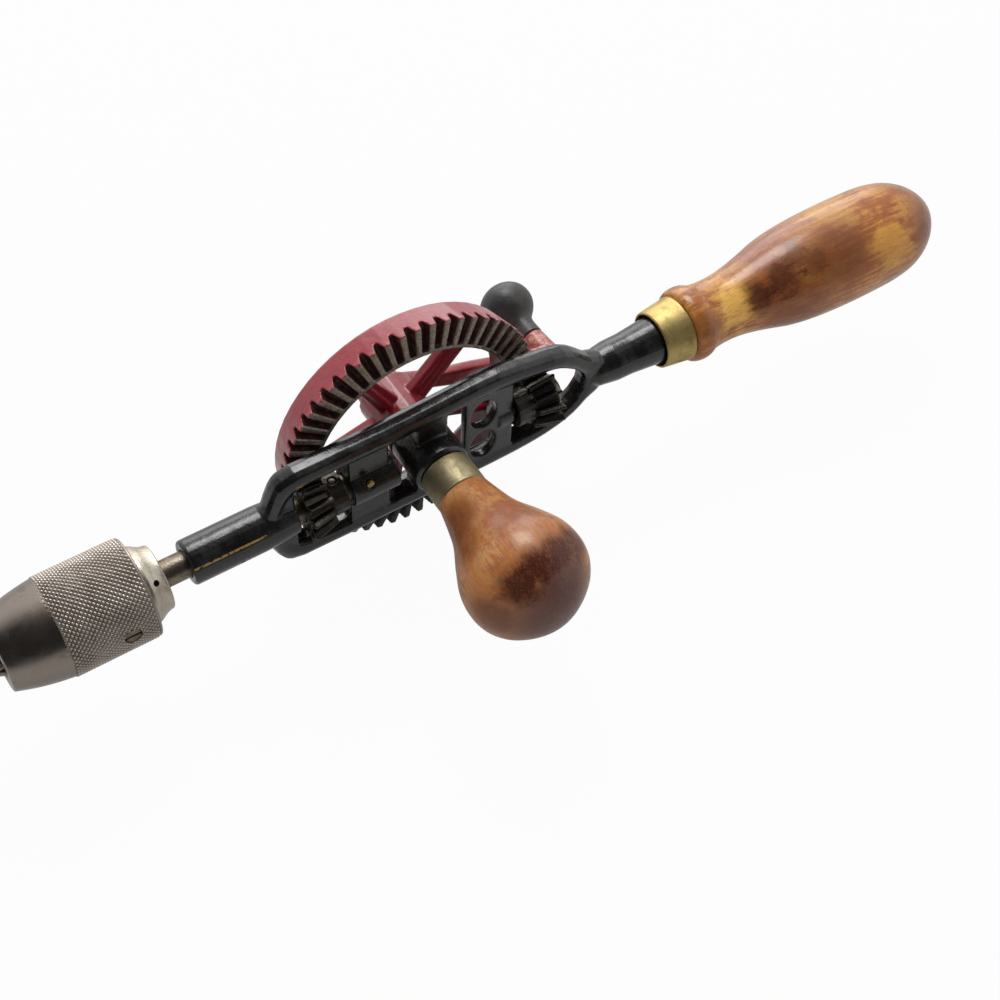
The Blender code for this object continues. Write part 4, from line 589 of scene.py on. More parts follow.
class Finishes:
    """Every finish of the drill, made once."""

    def __init__(self) -> None:
        """Make the materials."""
        self.japan = JapanFinish("black_japan", stripes=(
            Stripe(-84.0, -61.0, 147.5), Stripe(-47.5, -31.0, 104.5))).build()
        self.knob_iron = JapanFinish(
            "knob_japan", black=(0.035, 0.034, 0.034), dust=(0.12, 0.118, 0.115),
            rubbed=(0.24, 0.235, 0.225), grain_depth=0.10, rough=0.36, coat=0.0).build()
        self.wheel = EnamelFinish("wheel_enamel", toothed=True).build()
        self.crank = EnamelFinish("crank_enamel", faded_and_sheen=(0.42, 0.07, 0.05), tint_patches=StainAndLightPatch.rows(
            (66.0, 35.0, -15.0, 8.0, 0.88, (0.72, 0.40, 0.30)))).build()
        self.brass = MetalFinish("ferrule_brass", (0.56, 0.43, 0.17), (0.33, 0.24, 0.09),
                                 (0.07, 0.045, 0.02), 0.52, 0.65, 0.75).build()
        self.pale_brass = MetalFinish("side_ferrule_brass", (0.43, 0.365, 0.225), (0.27, 0.21, 0.11),
                                      (0.08, 0.055, 0.03), 0.50, 0.7, 0.7, (2.6, 0.2, 2.6)).build()
        self.steel = MetalFinish("brown_steel", (0.25, 0.212, 0.165), (0.12, 0.09, 0.06),
                                 (0.03, 0.021, 0.014), 0.36, 0.8, 0.8).build()
        self.pinion = MetalFinish("pinion_steel", (0.075, 0.070, 0.062), (0.040, 0.032, 0.026),
                                  (0.010, 0.008, 0.006), 0.34, 0.8, 0.95).build()
        self.nickel = MetalFinish("worn_nickel", (0.55, 0.50, 0.42), (0.32, 0.275, 0.21),
                                  (0.06, 0.045, 0.03), 0.38, 0.55, 0.6).build()
        self.knurl = KnurlFinish("knurled_steel").build()
        honey, straw, corn = (0.62, 0.34, 0.090), (0.86, 0.49, 0.110), (0.72, 0.34, 0.058)
        tan, copper, umber = (0.46, 0.22, 0.105), (0.52, 0.19, 0.045), (0.17, 0.042, 0.010)
        # The mauve tint is a painted sheen, laid on the tops of the handle and the knob.
        mauve_sheen, plum, mahogany = (0.30, 0.12, 0.085), (0.105, 0.048, 0.040), (0.070, 0.013, 0.004)
        self.handle = WoodFinish("handle_beech", (0.11, 1.0, 1.0), StainAndLightPatch.rows(
            # The mauve patch on the handle's top is a painted sheen.
            (137.0, 9.0, 13.0, 20.0, 0.60, mauve_sheen), (138.0, -15.0, 2.0, 17.0, 0.70, umber),
            # The straw patch at the neck is the wood's yellow tone, made paler as painted light.
            (158.0, -10.0, 14.0, 16.0, 0.80, umber), (116.0, -8.0, 8.0, 9.0, 0.86, straw),
            (134.0, -8.0, 12.0, 9.0, 0.84, mahogany), (126.0, -9.0, 9.0, 8.0, 0.92, mahogany),
            (142.0, -4.0, 15.0, 6.0, 0.60, mahogany), (147.0, -9.0, 14.0, 6.0, 0.60, mahogany),
            (165.0, 6.0, 16.0, 13.0, 0.50, honey), (178.0, -14.0, 10.0, 12.0, 0.70, corn),
            (197.0, -11.0, 8.0, 12.0, 0.75, umber), (196.0, 4.0, 12.0, 12.0, 0.50, umber),
            # The umber patch at Z -14 and the last mahogany patch make the handle darker underneath.
            (103.0, -10.0, 8.0, 7.0, 0.65, umber), (150.0, 9.0, -14.0, 22.0, 0.70, umber),
            (176.0, 14.0, -6.0, 12.0, 0.60, mahogany))).build()
        self.side = WoodFinish("knob_beech", (1.0, 0.11, 1.0), StainAndLightPatch.rows(
            # The mauve patch on the knob's top is a painted sheen.
            (2.0, -46.0, 17.0, 12.0, 0.65, mauve_sheen), (-9.0, -34.0, 6.0, 10.0, 0.80, umber),
            (-14.0, -44.0, 10.0, 9.0, 0.60, umber), (1.0, -56.0, 20.0, 9.0, 0.55, tan),
            (-18.0, -58.0, 9.0, 9.0, 0.60, copper), (-18.0, -66.0, 3.0, 10.0, 0.85, umber),
            (0.0, -82.0, 2.0, 27.0, 0.95, plum), (5.0, -72.0, 14.0, 12.0, 0.80, plum),
            # These four mahogany patches lay a dark band across the knob: partly a dark stain, partly a
            # painted dark reflection in its varnish.
            (-9.0, -67.5, 15.0, 9.0, 0.95, mahogany), (-2.0, -66.0, 19.0, 8.0, 0.97, mahogany),
            (6.0, -64.0, 18.0, 8.0, 0.97, mahogany), (14.0, -61.0, 14.0, 8.0, 0.90, mahogany),
            # These two patches make the knob darker underneath.
            (8.0, -40.0, -12.0, 14.0, 0.70, umber), (2.0, -60.0, -19.0, 16.0, 0.75, mahogany),
        ), gloss=0.5, ragged=21.0, ochre=(0.56, 0.275, 0.092), amber=(0.44, 0.15, 0.042),
            rose=(0.27, 0.085, 0.05)).build()


def spline(knots: Sequence[tuple[float, float]], per_span: int = 5) -> Profile:
    """Run a smooth line through knots.

    Args:
        knots: Points that the line passes through.
        per_span: Points made between two knots.

    Returns:
        The line's points, ends included.
    """
    padded = [Vector(knots[0]) * 2.0 - Vector(knots[1])] + [Vector(knot) for knot in knots] \
        + [Vector(knots[-1]) * 2.0 - Vector(knots[-2])]
    made = []
    for before, start, end, after in zip(padded, padded[1:], padded[2:], padded[3:]):
        for index in range(per_span):
            t = index / per_span
            point = 0.5 * (2.0 * start + (end - before) * t
                           + (2.0 * before - 5.0 * start + 4.0 * end - after) * t ** 2
                           + (3.0 * start - before - 3.0 * end + after) * t ** 3)
            made.append((point.x, max(0.0, point.y)))
    return made + [tuple(knots[-1])]


def soften(profile: Profile, radius: float, closed: bool = False, least_turn: float = 20.0) -> Profile:
    """Round a profile's sharp corners.

    Args:
        profile: The points.
        radius: How far from a corner its rounding starts.
        closed: Whether the profile runs round a bore.
        least_turn: Corners that turn by less, in degrees, stay as they are.

    Returns:
        The rounded profile.
    """
    most_of_side = 0.45
    made = []
    count = len(profile)
    for index, point in enumerate(profile):
        here = Vector(point)
        back = Vector(profile[index - 1]) - here
        ahead = Vector(profile[(index + 1) % count]) - here
        is_end = not closed and index in (0, count - 1)
        if is_end or math.degrees(math.pi - back.angle(ahead)) < least_turn:
            made.append(point)
            continue
        start = here + back.normalized() * min(radius, most_of_side * back.length)
        end = here + ahead.normalized() * min(radius, most_of_side * ahead.length)
        for share in (0.0, 0.25, 0.5, 0.75, 1.0):
            made.append(tuple(start.lerp(here, share).lerp(here.lerp(end, share), share)))
    return made


def to_world(mesh: bpy.types.Mesh, turn: Matrix, offset: Vector) -> None:
    """Turn a mesh made in millimetres and set it in the frame."""
    mesh.transform(Matrix.Translation(CENTRE) @ Matrix.Scale(MM, 4) @ Matrix.Translation(offset) @ turn)


def add_item(name: str, data: bpy.types.ID) -> Piece:
    """Put a mesh, lamp or camera in the scene.

    Args:
        name: The object's name.
        data: What it shows.

    Returns:
        The object.
    """
    item = bpy.data.objects.new(name, data)
    bpy.context.scene.collection.objects.link(item)
    return item


def settle(item: Piece) -> Piece:
    """Apply a piece's modifiers to its mesh.

    Args:
        item: The piece.

    Returns:
        The same piece.
    """
    bpy.context.view_layer.update()
    evaluated = item.evaluated_get(bpy.context.evaluated_depsgraph_get())
    mesh = bpy.data.meshes.new_from_object(evaluated)
    item.modifiers.clear()
    item.data = mesh
    return item


def lathe(name: str, profile: Profile, axis: Axis, steps: int = 96, offset: Vector = Vector(),
          closed: bool = False, relief: Relief | None = None) -> Piece:
    """Turn a profile about an axis.

    Args:
        name: The piece's name.
        profile: Stations and radii.
        axis: The direction of the stations.
        steps: Sides of a turn.
        offset: Where the axis starts.
        closed: Whether the profile runs round a bore, and so joins its ends.
        relief: Gives a point's own radius from its station, radius and angle.

    Returns:
        The piece, smooth shaded.
    """
    work = bmesh.new()
    rings = []
    for station, radius in profile:
        if radius < 1e-6:
            rings.append([work.verts.new((0.0, 0.0, station))])
            continue
        ring = []
        for index in range(steps):
            angle = TAU * index / steps
            reach = relief(station, radius, angle) if relief else radius
            ring.append(work.verts.new((reach * math.cos(angle), reach * math.sin(angle), station)))
        rings.append(ring)
    pairs = list(zip(rings, rings[1:])) + ([(rings[-1], rings[0])] if closed else [])
    for near, far in pairs:
        for index in range(steps):
            ahead = (index + 1) % steps
            corners = [near[index % len(near)], near[ahead % len(near)],
                       far[ahead % len(far)], far[index % len(far)]]
            unique = list(dict.fromkeys(corners))
            if len(unique) > 2:
                work.faces.new(unique)
    bmesh.ops.recalc_face_normals(work, faces=work.faces)
    mesh = bpy.data.meshes.new(name)
    work.to_mesh(mesh)
    work.free()
    mesh.shade_smooth()
    to_world(mesh, axis.turn(), offset)
    return add_item(name, mesh)


def drill(start: float, end: float, radius: float, steps: int) -> Piece:
    """Make a round cutter between two stations of the gear's axle."""
    return lathe("cutter", [(start, 0.0), (start, radius), (end, radius), (end, 0.0)], Axis.GEAR, steps)


def bar(low: Sequence[float], high: Sequence[float]) -> Piece:
    """Make a box-shaped cutter on the gear's axle, for a screwdriver slot.

    Args:
        low: Its lowest corner, with Z along the axle.
        high: Its highest corner.

    Returns:
        The cutter.
    """
    work = bmesh.new()
    bmesh.ops.create_cube(work, size=1.0)
    bmesh.ops.scale(work, vec=Vector(high) - Vector(low), verts=work.verts)
    bmesh.ops.translate(work, vec=(Vector(high) + Vector(low)) / 2.0, verts=work.verts)
    mesh = bpy.data.meshes.new("cutter")
    work.to_mesh(mesh)
    work.free()
    to_world(mesh, Axis.GEAR.turn(), Vector())
    return add_item("cutter", mesh)


def swing(item: Piece, degrees: float, along: float) -> Piece:
    """Turn a piece made on the gear's axle about the spindle, and slide it along it.

    Args:
        item: The piece.
        degrees: The turn.
        along: The way along the spindle.

    Returns:
        The same piece.
    """
    about = Matrix.Translation(CENTRE)
    slide = Matrix.Translation(Vector((along * MM, 0.0, 0.0)))
    turn = Matrix.Rotation(math.radians(degrees), 4, 'X')
    item.data.transform(about @ slide @ turn @ about.inverted())
    return item


def cut(item: Piece, cutter: Piece, sharp: float = 35.0) -> Piece:
    """Take a closed form out of a piece.

    Args:
        item: The piece.
        cutter: The form, which is removed afterwards.
        sharp: Edges that turn by more, in degrees, are shaded sharp.

    Returns:
        The same piece.
    """
    hole = item.modifiers.new("cut", 'BOOLEAN')
    hole.operation = 'DIFFERENCE'
    hole.solver = 'EXACT'
    hole.object = cutter
    settle(item)
    item.data.set_sharp_from_angle(angle=math.radians(sharp))
    bpy.data.objects.remove(cutter, do_unlink=True)
    return item


def copy_node(name: str, node: str) -> Piece:
    """Copy a solid's mesh, with its split corners joined.

    Args:
        name: The new piece's name.
        node: The solid.

    Returns:
        The piece.
    """
    mesh = frame["nodes"][node].data.copy()
    mesh.materials.clear()
    work = bmesh.new()
    work.from_mesh(mesh)
    bmesh.ops.remove_doubles(work, verts=work.verts, dist=0.002 * MM)
    work.to_mesh(mesh)
    work.free()
    return add_item(name, mesh)


def recast(name: str, node: str, grain: float, passes: int) -> Piece:
    """Copy a cast solid with the softened edges and fillets of a casting.

    Args:
        name: The new piece's name.
        node: The solid.
        grain: Size of the new surface's cells.
        passes: How often the surface is smoothed.

    Returns:
        The piece.
    """
    item = copy_node(name, node)
    cells = item.modifiers.new("cells", 'REMESH')
    cells.mode = 'VOXEL'
    cells.voxel_size = grain * MM
    soft = item.modifiers.new("soft", 'SMOOTH')
    soft.factor = 0.5
    soft.iterations = passes
    settle(item)
    item.data.shade_smooth()
    return item


def machined(name: str, node: str, edge: float) -> Piece:
    """Copy a machined solid with broken edges.

    Args:
        name: The new piece's name.
        node: The solid.
        edge: Width of the broken edges.

    Returns:
        The piece.
    """
    item = copy_node(name, node)
    work = bmesh.new()
    work.from_mesh(item.data)
    bmesh.ops.dissolve_limit(work, angle_limit=math.radians(1.0), verts=work.verts, edges=work.edges)
    work.to_mesh(item.data)
    work.free()
    broken = item.modifiers.new("broken", 'BEVEL')
    broken.width = edge * MM
    broken.segments = 2
    broken.limit_method = 'ANGLE'
    broken.angle_limit = math.radians(38.0)
    settle(item)
    item.data.shade_smooth()
    item.data.set_sharp_from_angle(angle=math.radians(40.0))
    return item


def dress(item: Piece, material: Material, body: str, slot: str, *nodes: str) -> None:
    """Finish a piece and tie it to the frame.

    Args:
        item: The piece.
        material: Its finish.
        body: The body that it rides on.
        slot: The record's finish slot; not used.
        *nodes: The solids that it stands for.
    """
    item.data.materials.clear()
    item.data.materials.append(material)
    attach(item, body)
    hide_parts(*nodes)
    LOG.info("%s: %d faces on %s", item.name, len(item.data.polygons), body)


def fit(name: str, node: str, edge: float, material: Material, body: str, slot: str = "screw_steel") -> None:
    """Copy a machined solid with broken edges, and dress the copy."""
    dress(machined(name, node, edge), material, body, slot, node)


@dataclass(frozen=True)
class HandTurned:
    """The slight sway from round of wood that was turned by hand."""

    bore_radius: float
    bore_end: float
    twist: float
    second: float
    swirl: float
    amount: float

    def __call__(self, station: float, radius: float, angle: float) -> float:
        """Let the outside sway, and leave the bore.

        Args:
            station: A point's place along the axis.
            radius: The profile's radius there.
            angle: The point's angle about the axis.

        Returns:
            The point's own radius.
        """
        if radius < self.bore_radius and station < self.bore_end:
            return radius
        sway = math.sin(2.0 * angle + self.twist * station) \
            + self.second * math.sin(3.0 * angle - self.swirl * station)
        return radius * (1.0 + self.amount * sway)


@dataclass
class Chuck:
    """Three-jaw chuck with its knurled sleeve, on the front of the spindle."""

    finishes: Finishes
    nose_front: float = -146.0
    nose: Knots = ((-142.0, 13.30), (-138.0, 14.35), (-134.0, 15.15), (-131.0, 15.62))
    flare: Knots = ((-98.0, 12.0), (-96.8, 11.25), (-95.6, 10.75), (-94.6, 10.5), (-94.0, 10.42))
    knurl_front: float = -128.6
    sleeve_rear: float = -100.5
    sleeve_radius: float = 16.3
    nose_radius: float = 12.2
    mouth_radius: float = 7.8
    core_radius: float = 12.6
    gap: float = 0.3
    land: float = 0.9
    chamfer: float = 0.45
    knurl_pitch: float = 1.72
    knurl_depth: float = 0.50
    knurl_samples: int = 8
    collar_rear: float = -93.6
    spindle_radius: float = 4.39
    seat: float = -104.3
    screw_place: float = -109.6
    screw_degrees: float = 175.0
    tommy_place: float = -97.2
    tommy_degrees: float = 131.0

    def build(self) -> None:
        """Build and dress each of the chuck's pieces."""
        dress(self.sleeve(), self.finishes.knurl, "sleeve", "chuck_steel", "chuck_sleeve")
        dress(self.grub_screw(), self.finishes.steel, "sleeve", "screw_steel", "sleeve_grub_screw")
        dress(self.collar(), self.finishes.nickel, "spindle_line", "collar_nickel", "chuck_body")
        for index, body in enumerate(("jaw_a", "jaw_b", "jaw_c"), 1):
            fit("chuck_jaw_%d" % index, "jaw_%d" % index, 0.25, self.finishes.steel, body, "jaw_steel")

    @property
    def ridges(self) -> int:
        """Give the number of the knurl's ridges around the sleeve."""
        return round(TAU * self.sleeve_radius / self.knurl_pitch)

    def knurled(self, station: float, radius: float, angle: float) -> float:
        """Give the diamond knurl's radius at a point of the sleeve.

        Args:
            station: The point's place along the spindle.
            radius: The profile's radius there.
            angle: The point's angle about the spindle.

        Returns:
            The point's own radius, which off the knurl is the profile's.
        """
        if radius < self.sleeve_radius:
            return radius
        along = (station - self.knurl_front) / self.knurl_pitch
        turn = angle / TAU * self.ridges
        valley = min(abs((turn + along) % 1.0 - 0.5), abs((turn - along) % 1.0 - 0.5)) * 2.0
        low = 1.0 - min(1.0, 1.35 * valley)
        fade = max(0.0, min(1.0, (station - self.knurl_front) / 0.6,
                            (self.sleeve_rear - self.land - station) / 0.4 + 0.25))
        return radius - self.knurl_depth * (low * fade + (1.0 - fade) * 0.8)

    def sleeve(self) -> Piece:
        """Turn the sleeve, knurl it and cut its screw's hole.

        Returns:
            The sleeve.
        """
        bore = self.core_radius + self.gap
        front = self.knurl_front
        rear = self.sleeve_rear
        tip = self.nose_front
        shoulder = self.sleeve_radius - self.chamfer
        rows = int(round((rear - self.land - front) / self.knurl_pitch * self.knurl_samples))
        profile = spline([(tip + 0.5, self.nose_radius), *self.nose, (front - 0.7, shoulder)])
        profile += [(front + (rear - self.land - front) * row / rows, self.sleeve_radius)
                    for row in range(rows + 1)]
        profile += [(rear - 0.45, self.sleeve_radius - 0.25), (rear - 0.1, shoulder), (rear, shoulder - 0.4),
                    (rear, bore), (-122.5, bore), (tip + 2.5, self.mouth_radius),
                    (tip + 0.4, self.mouth_radius), (tip, self.mouth_radius + 0.4),
                    (tip, self.nose_radius - 0.6), (tip + 0.12, self.nose_radius - 0.2)]
        item = lathe("chuck_sleeve_shell", profile, Axis.SPINDLE, self.ridges * self.knurl_samples,
                     closed=True, relief=self.knurled)
        hole = drill(self.core_radius, self.sleeve_radius + 1.5, 2.8, 40)
        return cut(item, swing(hole, self.screw_degrees, self.screw_place), 60.0)

    def grub_screw(self) -> Piece:
        """Turn the sleeve's slotted screw.

        Returns:
            The screw.
        """
        top = self.sleeve_radius - self.chamfer
        foot = self.core_radius + self.gap
        item = lathe("sleeve_screw", soften([(foot, 0.0), (foot, 2.5), (top, 2.5), (top, 0.0)], 0.25),
                     Axis.GEAR, 40)
        cut(item, bar((-4.0, -0.38, top - 0.8), (4.0, 0.38, top + 1.5)))
        return swing(item, self.screw_degrees, self.screw_place)

    def collar(self) -> Piece:
        """Turn the chuck's core with its flared collar and tommy-bar hole.

        Returns:
            The core.
        """
        bore = self.spindle_radius + self.gap
        profile = [(-107.5, 0.0), (-107.5, 9.6), (-121.0, 9.6), (-121.0, 12.1), (-120.5, self.core_radius)]
        profile += spline([(-99.2, self.core_radius - 0.05), *self.flare], 4)
        profile += [(self.collar_rear, 10.1), (self.collar_rear, bore), (self.seat, bore), (self.seat, 0.0)]
        item = lathe("chuck_core", soften(profile, 0.35), Axis.SPINDLE)
        return cut(item, swing(drill(6.5, 14.0, 1.0, 24), self.tommy_degrees, self.tommy_place))


@dataclass
class SpindleLine:
    """Spindle with its pinion, cross pin and thrust ball, and the idler on its stud."""

    finishes: Finishes
    radius: float = 4.39
    front: float = -104.0
    rear: float = -24.9

    def build(self) -> None:
        """Build and dress the turning pieces along the spindle's axis."""
        rod = [(self.front, 0.0), (self.front, self.radius), (self.rear, self.radius), (self.rear, 0.0)]
        spindle = lathe("drive_spindle", soften(rod, 0.5), Axis.SPINDLE, 72)
        self._fit_ends(spindle, "spindle")
        dress(spindle, self.finishes.steel, "spindle_line", "spindle_steel", "spindle")
        for name, node, body in (("drive_pinion", "spindle_pinion", "spindle_line"),
                                 ("idle_pinion", "idler_pinion", "idler")):
            dress(recast(name, node, 0.24, 2), self.finishes.pinion, body, "pinion_steel", node)
        fit("cross_pin", "pinion_pin", 0.2, self.finishes.steel, "spindle_line")
        fit("bearing_ball", "thrust_ball", 0.05, self.finishes.steel, "spindle_line")

    @staticmethod
    def _fit_ends(item: Piece, node: str) -> None:
        """Stretch a rod so that its ends lie where its solid's do.

        Args:
            item: The rod.
            node: The solid.
        """
        low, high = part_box(node)
        stations = [vertex.co.x for vertex in item.data.vertices]
        first, last = min(stations), max(stations)
        for vertex in item.data.vertices:
            share = (vertex.co.x - first) / (last - first)
            vertex.co.x = low.x + share * (high.x - low.x)


@dataclass
class Frame:
    """The japanned casting with the steel and brass pieces that are fixed in it."""

    finishes: Finishes
    grain: float = 0.36
    passes: int = 5
    stud_front: float = 26.3
    stud_radius: float = 2.4
    head: Knots = ((46.3, 5.35), (47.6, 5.3), (48.6, 4.5), (49.2, 3.0), (49.3, 1.2))

    def build(self) -> None:
        """Build and dress the casting, stud, axle screw, plug and pin."""
        casting = recast("frame_body", "frame_casting", self.grain, self.passes)
        dress(casting, self.finishes.japan, "root", "frame_japan", "frame_casting")
        head_face, head_rear = self.head[0][0], self.head[-1][0]
        shank = spline([(self.stud_front, self.stud_radius), (head_face, self.stud_radius)], 1)
        stud = soften(shank + spline(self.head, 4) + [(head_rear, 0.0)], 0.2)
        item = lathe("idler_shoulder_stud", [(self.stud_front, 0.0)] + stud, Axis.SPINDLE, 56)
        dress(item, self.finishes.steel, "root", "screw_steel", "idler_stud")
        fit("gear_axle", "gear_axle_screw", 0.35, self.finishes.steel, "root")
        fit("spindle_plug", "thrust_plug", 0.2, self.finishes.steel, "root")
        fit("brass_pin", "bearing_pin", 0.25, self.finishes.brass, "root", "bearing_brass")


@dataclass
class MainHandle:
    """The turned rear handle with its brass ferrule; the bead's stations start at the shoulder."""

    finishes: Finishes
    front: float = 91.0
    end: float = 206.6
    ferrule_front: float = 87.5
    ferrule_rear: float = 98.5
    front_radius: float = 10.0
    rear_radius: float = 11.4
    wall: float = 0.8
    tang_bore: float = 4.9
    tang_bore_end: float = 140.0
    bead: Knots = ((0.0, 11.9), (0.5, 12.5), (1.8, 13.0), (3.6, 13.2), (5.6, 12.95), (7.2, 12.3), (8.6, 11.7))
    grip: Knots = ((111.5, 11.3), (116.0, 11.3), (120.5, 11.75), (126.0, 12.75), (132.0, 14.2),
                   (138.0, 15.75), (145.0, 16.9), (154.0, 17.65), (165.0, 18.0), (177.0, 17.88),
                   (183.0, 17.55), (188.0, 16.85), (192.0, 15.8), (196.0, 14.0), (199.4, 11.75),
                   (202.2, 9.1), (204.4, 6.3), (206.0, 3.1))

    def build(self) -> None:
        """Build and dress the handle and its ferrule."""
        dress(self.wood(), self.finishes.handle, "root", "handle_wood", "main_handle")
        dress(self.ferrule(), self.finishes.brass, "root", "ferrule_brass", "main_ferrule")

    def wood(self) -> Piece:
        """Turn the handle, a little out of round as by hand.

        Returns:
            The handle.
        """
        shoulder = self.ferrule_rear + 0.3
        bore = [(self.tang_bore_end, 0.0), (self.tang_bore_end, self.tang_bore),
                (self.front, self.tang_bore), (self.front, 9.2), (shoulder, 10.1)]
        bead = spline([(shoulder + along, radius) for along, radius in self.bead], 4)
        grip = spline([bead[-1], *self.grip, (self.end, 0.0)])
        return lathe("rear_handle", bore + bead + grip[1:], Axis.SPINDLE, 112,
                     relief=HandTurned(10.2, self.tang_bore_end, 0.045, 0.6, 0.07, 0.0022))

    def ferrule(self) -> Piece:
        """Turn the tapered ferrule with its rolled edges.

        Returns:
            The ferrule.
        """
        front, rear, lip = self.ferrule_front, self.ferrule_rear, 0.35
        small, large = self.front_radius, self.rear_radius
        profile = [(front, small - lip)] + spline([
            (front + lip, small), (front + 4.0, small + 0.5), (front + 8.0, small + 1.02),
            (rear - lip, large)], 3)
        profile += [(rear, large - lip), (rear, large - self.wall), (front, small - self.wall)]
        return lathe("rear_ferrule", soften(profile, 0.2, True), Axis.SPINDLE, closed=True)


@dataclass
class SideHandle:
    """The pear-shaped side knob with its ferrule and stud."""

    finishes: Finishes
    ferrule_front: float = 11.0
    ferrule_rear: float = 22.2
    ferrule_radius: float = 8.8
    wall: float = 0.8
    end: float = 76.2
    bore: float = 3.8
    bore_front: float = 12.6
    bore_end: float = 52.3
    tenon: float = 7.7
    pear: Knots = ((24.4, 9.25), (27.6, 10.0), (31.0, 10.85), (34.2, 11.75), (37.2, 12.95), (40.2, 14.5),
                   (43.2, 16.1), (46.0, 17.45), (48.8, 18.75), (51.6, 19.75), (54.6, 20.35),
                   (57.6, 20.48), (60.4, 20.25), (63.2, 19.5), (65.8, 18.2), (68.4, 16.3), (70.8, 13.7),
                   (73.0, 10.6), (74.8, 7.2), (75.9, 3.6))

    def build(self) -> None:
        """Build and dress the knob, ferrule and stud."""
        dress(self.wood(), self.finishes.side, "root", "knob_wood", "side_knob")
        dress(self.ferrule(), self.finishes.pale_brass, "root", "side_ferrule_brass", "side_ferrule")
        fit("knob_stud", "side_stud", 0.3, self.finishes.steel, "root")

    def wood(self) -> Piece:
        """Turn the pear-shaped knob.

        Returns:
            The knob.
        """
        shoulder = self.ferrule_rear + 0.3
        bore = [(self.bore_end, 0.0), (self.bore_end, self.bore), (self.bore_front, self.bore),
                (self.bore_front, self.tenon), (shoulder, self.tenon)]
        body = spline([(shoulder, 8.85), *self.pear, (self.end, 0.0)])
        return lathe("pear_knob", bore + body, Axis.SIDE, 112,
                     relief=HandTurned(8.0, 52.4, 0.08, 0.5, 0.1, 0.0025))

    def ferrule(self) -> Piece:
        """Turn the drawn ferrule with its closed front.

        Returns:
            The ferrule.
        """
        front, rear, radius, wall = self.ferrule_front, self.ferrule_rear, self.ferrule_radius, self.wall
        profile = [(front, self.bore), (front, radius - 0.1), (front + 0.9, radius + 0.02),
                   (rear - 1.4, radius), (rear - 0.9, radius - 0.12), (rear - 0.4, radius),
                   (rear, radius - 0.2), (rear, radius - wall), (front + wall, radius - wall),
                   (front + wall, self.bore)]
        return lathe("knob_ferrule", soften(profile, 0.35, True), Axis.SIDE, closed=True)


@dataclass
class GearWheel:
    """The toothed wheel and the crank that turns it."""

    finishes: Finishes
    grain: float = 0.32
    passes: int = 2
    arm_grain: float = 0.36
    arm_passes: int = 4

    def build(self) -> None:
        """Build and dress the wheel, crank arm, pin and washer."""
        wheel = recast("ring_gear", "gear_wheel", self.grain, self.passes)
        dress(wheel, self.finishes.wheel, "wheel", "wheel_red", "gear_wheel")
        arm = recast("crank_lever", "crank_arm", self.arm_grain, self.arm_passes)
        dress(arm, self.finishes.crank, "wheel", "crank_red", "crank_arm")
        fit("knob_rivet", "crank_knob_pin", 0.25, self.finishes.steel, "wheel")
        fit("hub_washer", "axle_washer", 0.25, self.finishes.steel, "wheel")


@dataclass
class CrankGrip:
    """The iron mushroom knob that turns on the crank's pin; its outline starts at its face."""

    finishes: Finishes
    face: float = 39.4
    pin_radius: float = 1.9
    pin_head_radius: float = 3.3
    pin_head_depth: float = 1.5
    outline: Knots = ((0.3, 4.35), (2.0, 4.3), (4.4, 4.25), (6.4, 4.5), (8.2, 5.3), (9.8, 6.7), (11.4, 8.1),
                      (13.2, 9.2), (15.2, 9.8), (17.4, 9.85), (19.6, 9.3), (21.6, 8.0), (23.2, 6.2),
                      (24.3, 4.4), (24.8, 3.5))

    def build(self) -> None:
        """Build and dress the knob."""
        outer = spline([(self.face + along, radius) for along, radius in self.outline], 4)
        end = outer[-1][0]
        pocket = end - self.pin_head_depth
        inner = [(end - 0.1, self.pin_head_radius), (pocket, self.pin_head_radius),
                 (pocket, self.pin_radius), (self.face, self.pin_radius), (self.face, 4.0)]
        pos = Vector(JOINTS["knob_spin"]["pos_m"]) - CENTRE
        item = lathe("mushroom_knob", soften(outer + inner, 0.25, True, 35.0), Axis.GEAR, 80,
                     Vector((pos.x, 0.0, pos.z)) / MM, closed=True)
        dress(item, self.finishes.knob_iron, "crank_grip", "crank_knob_iron", "crank_knob")


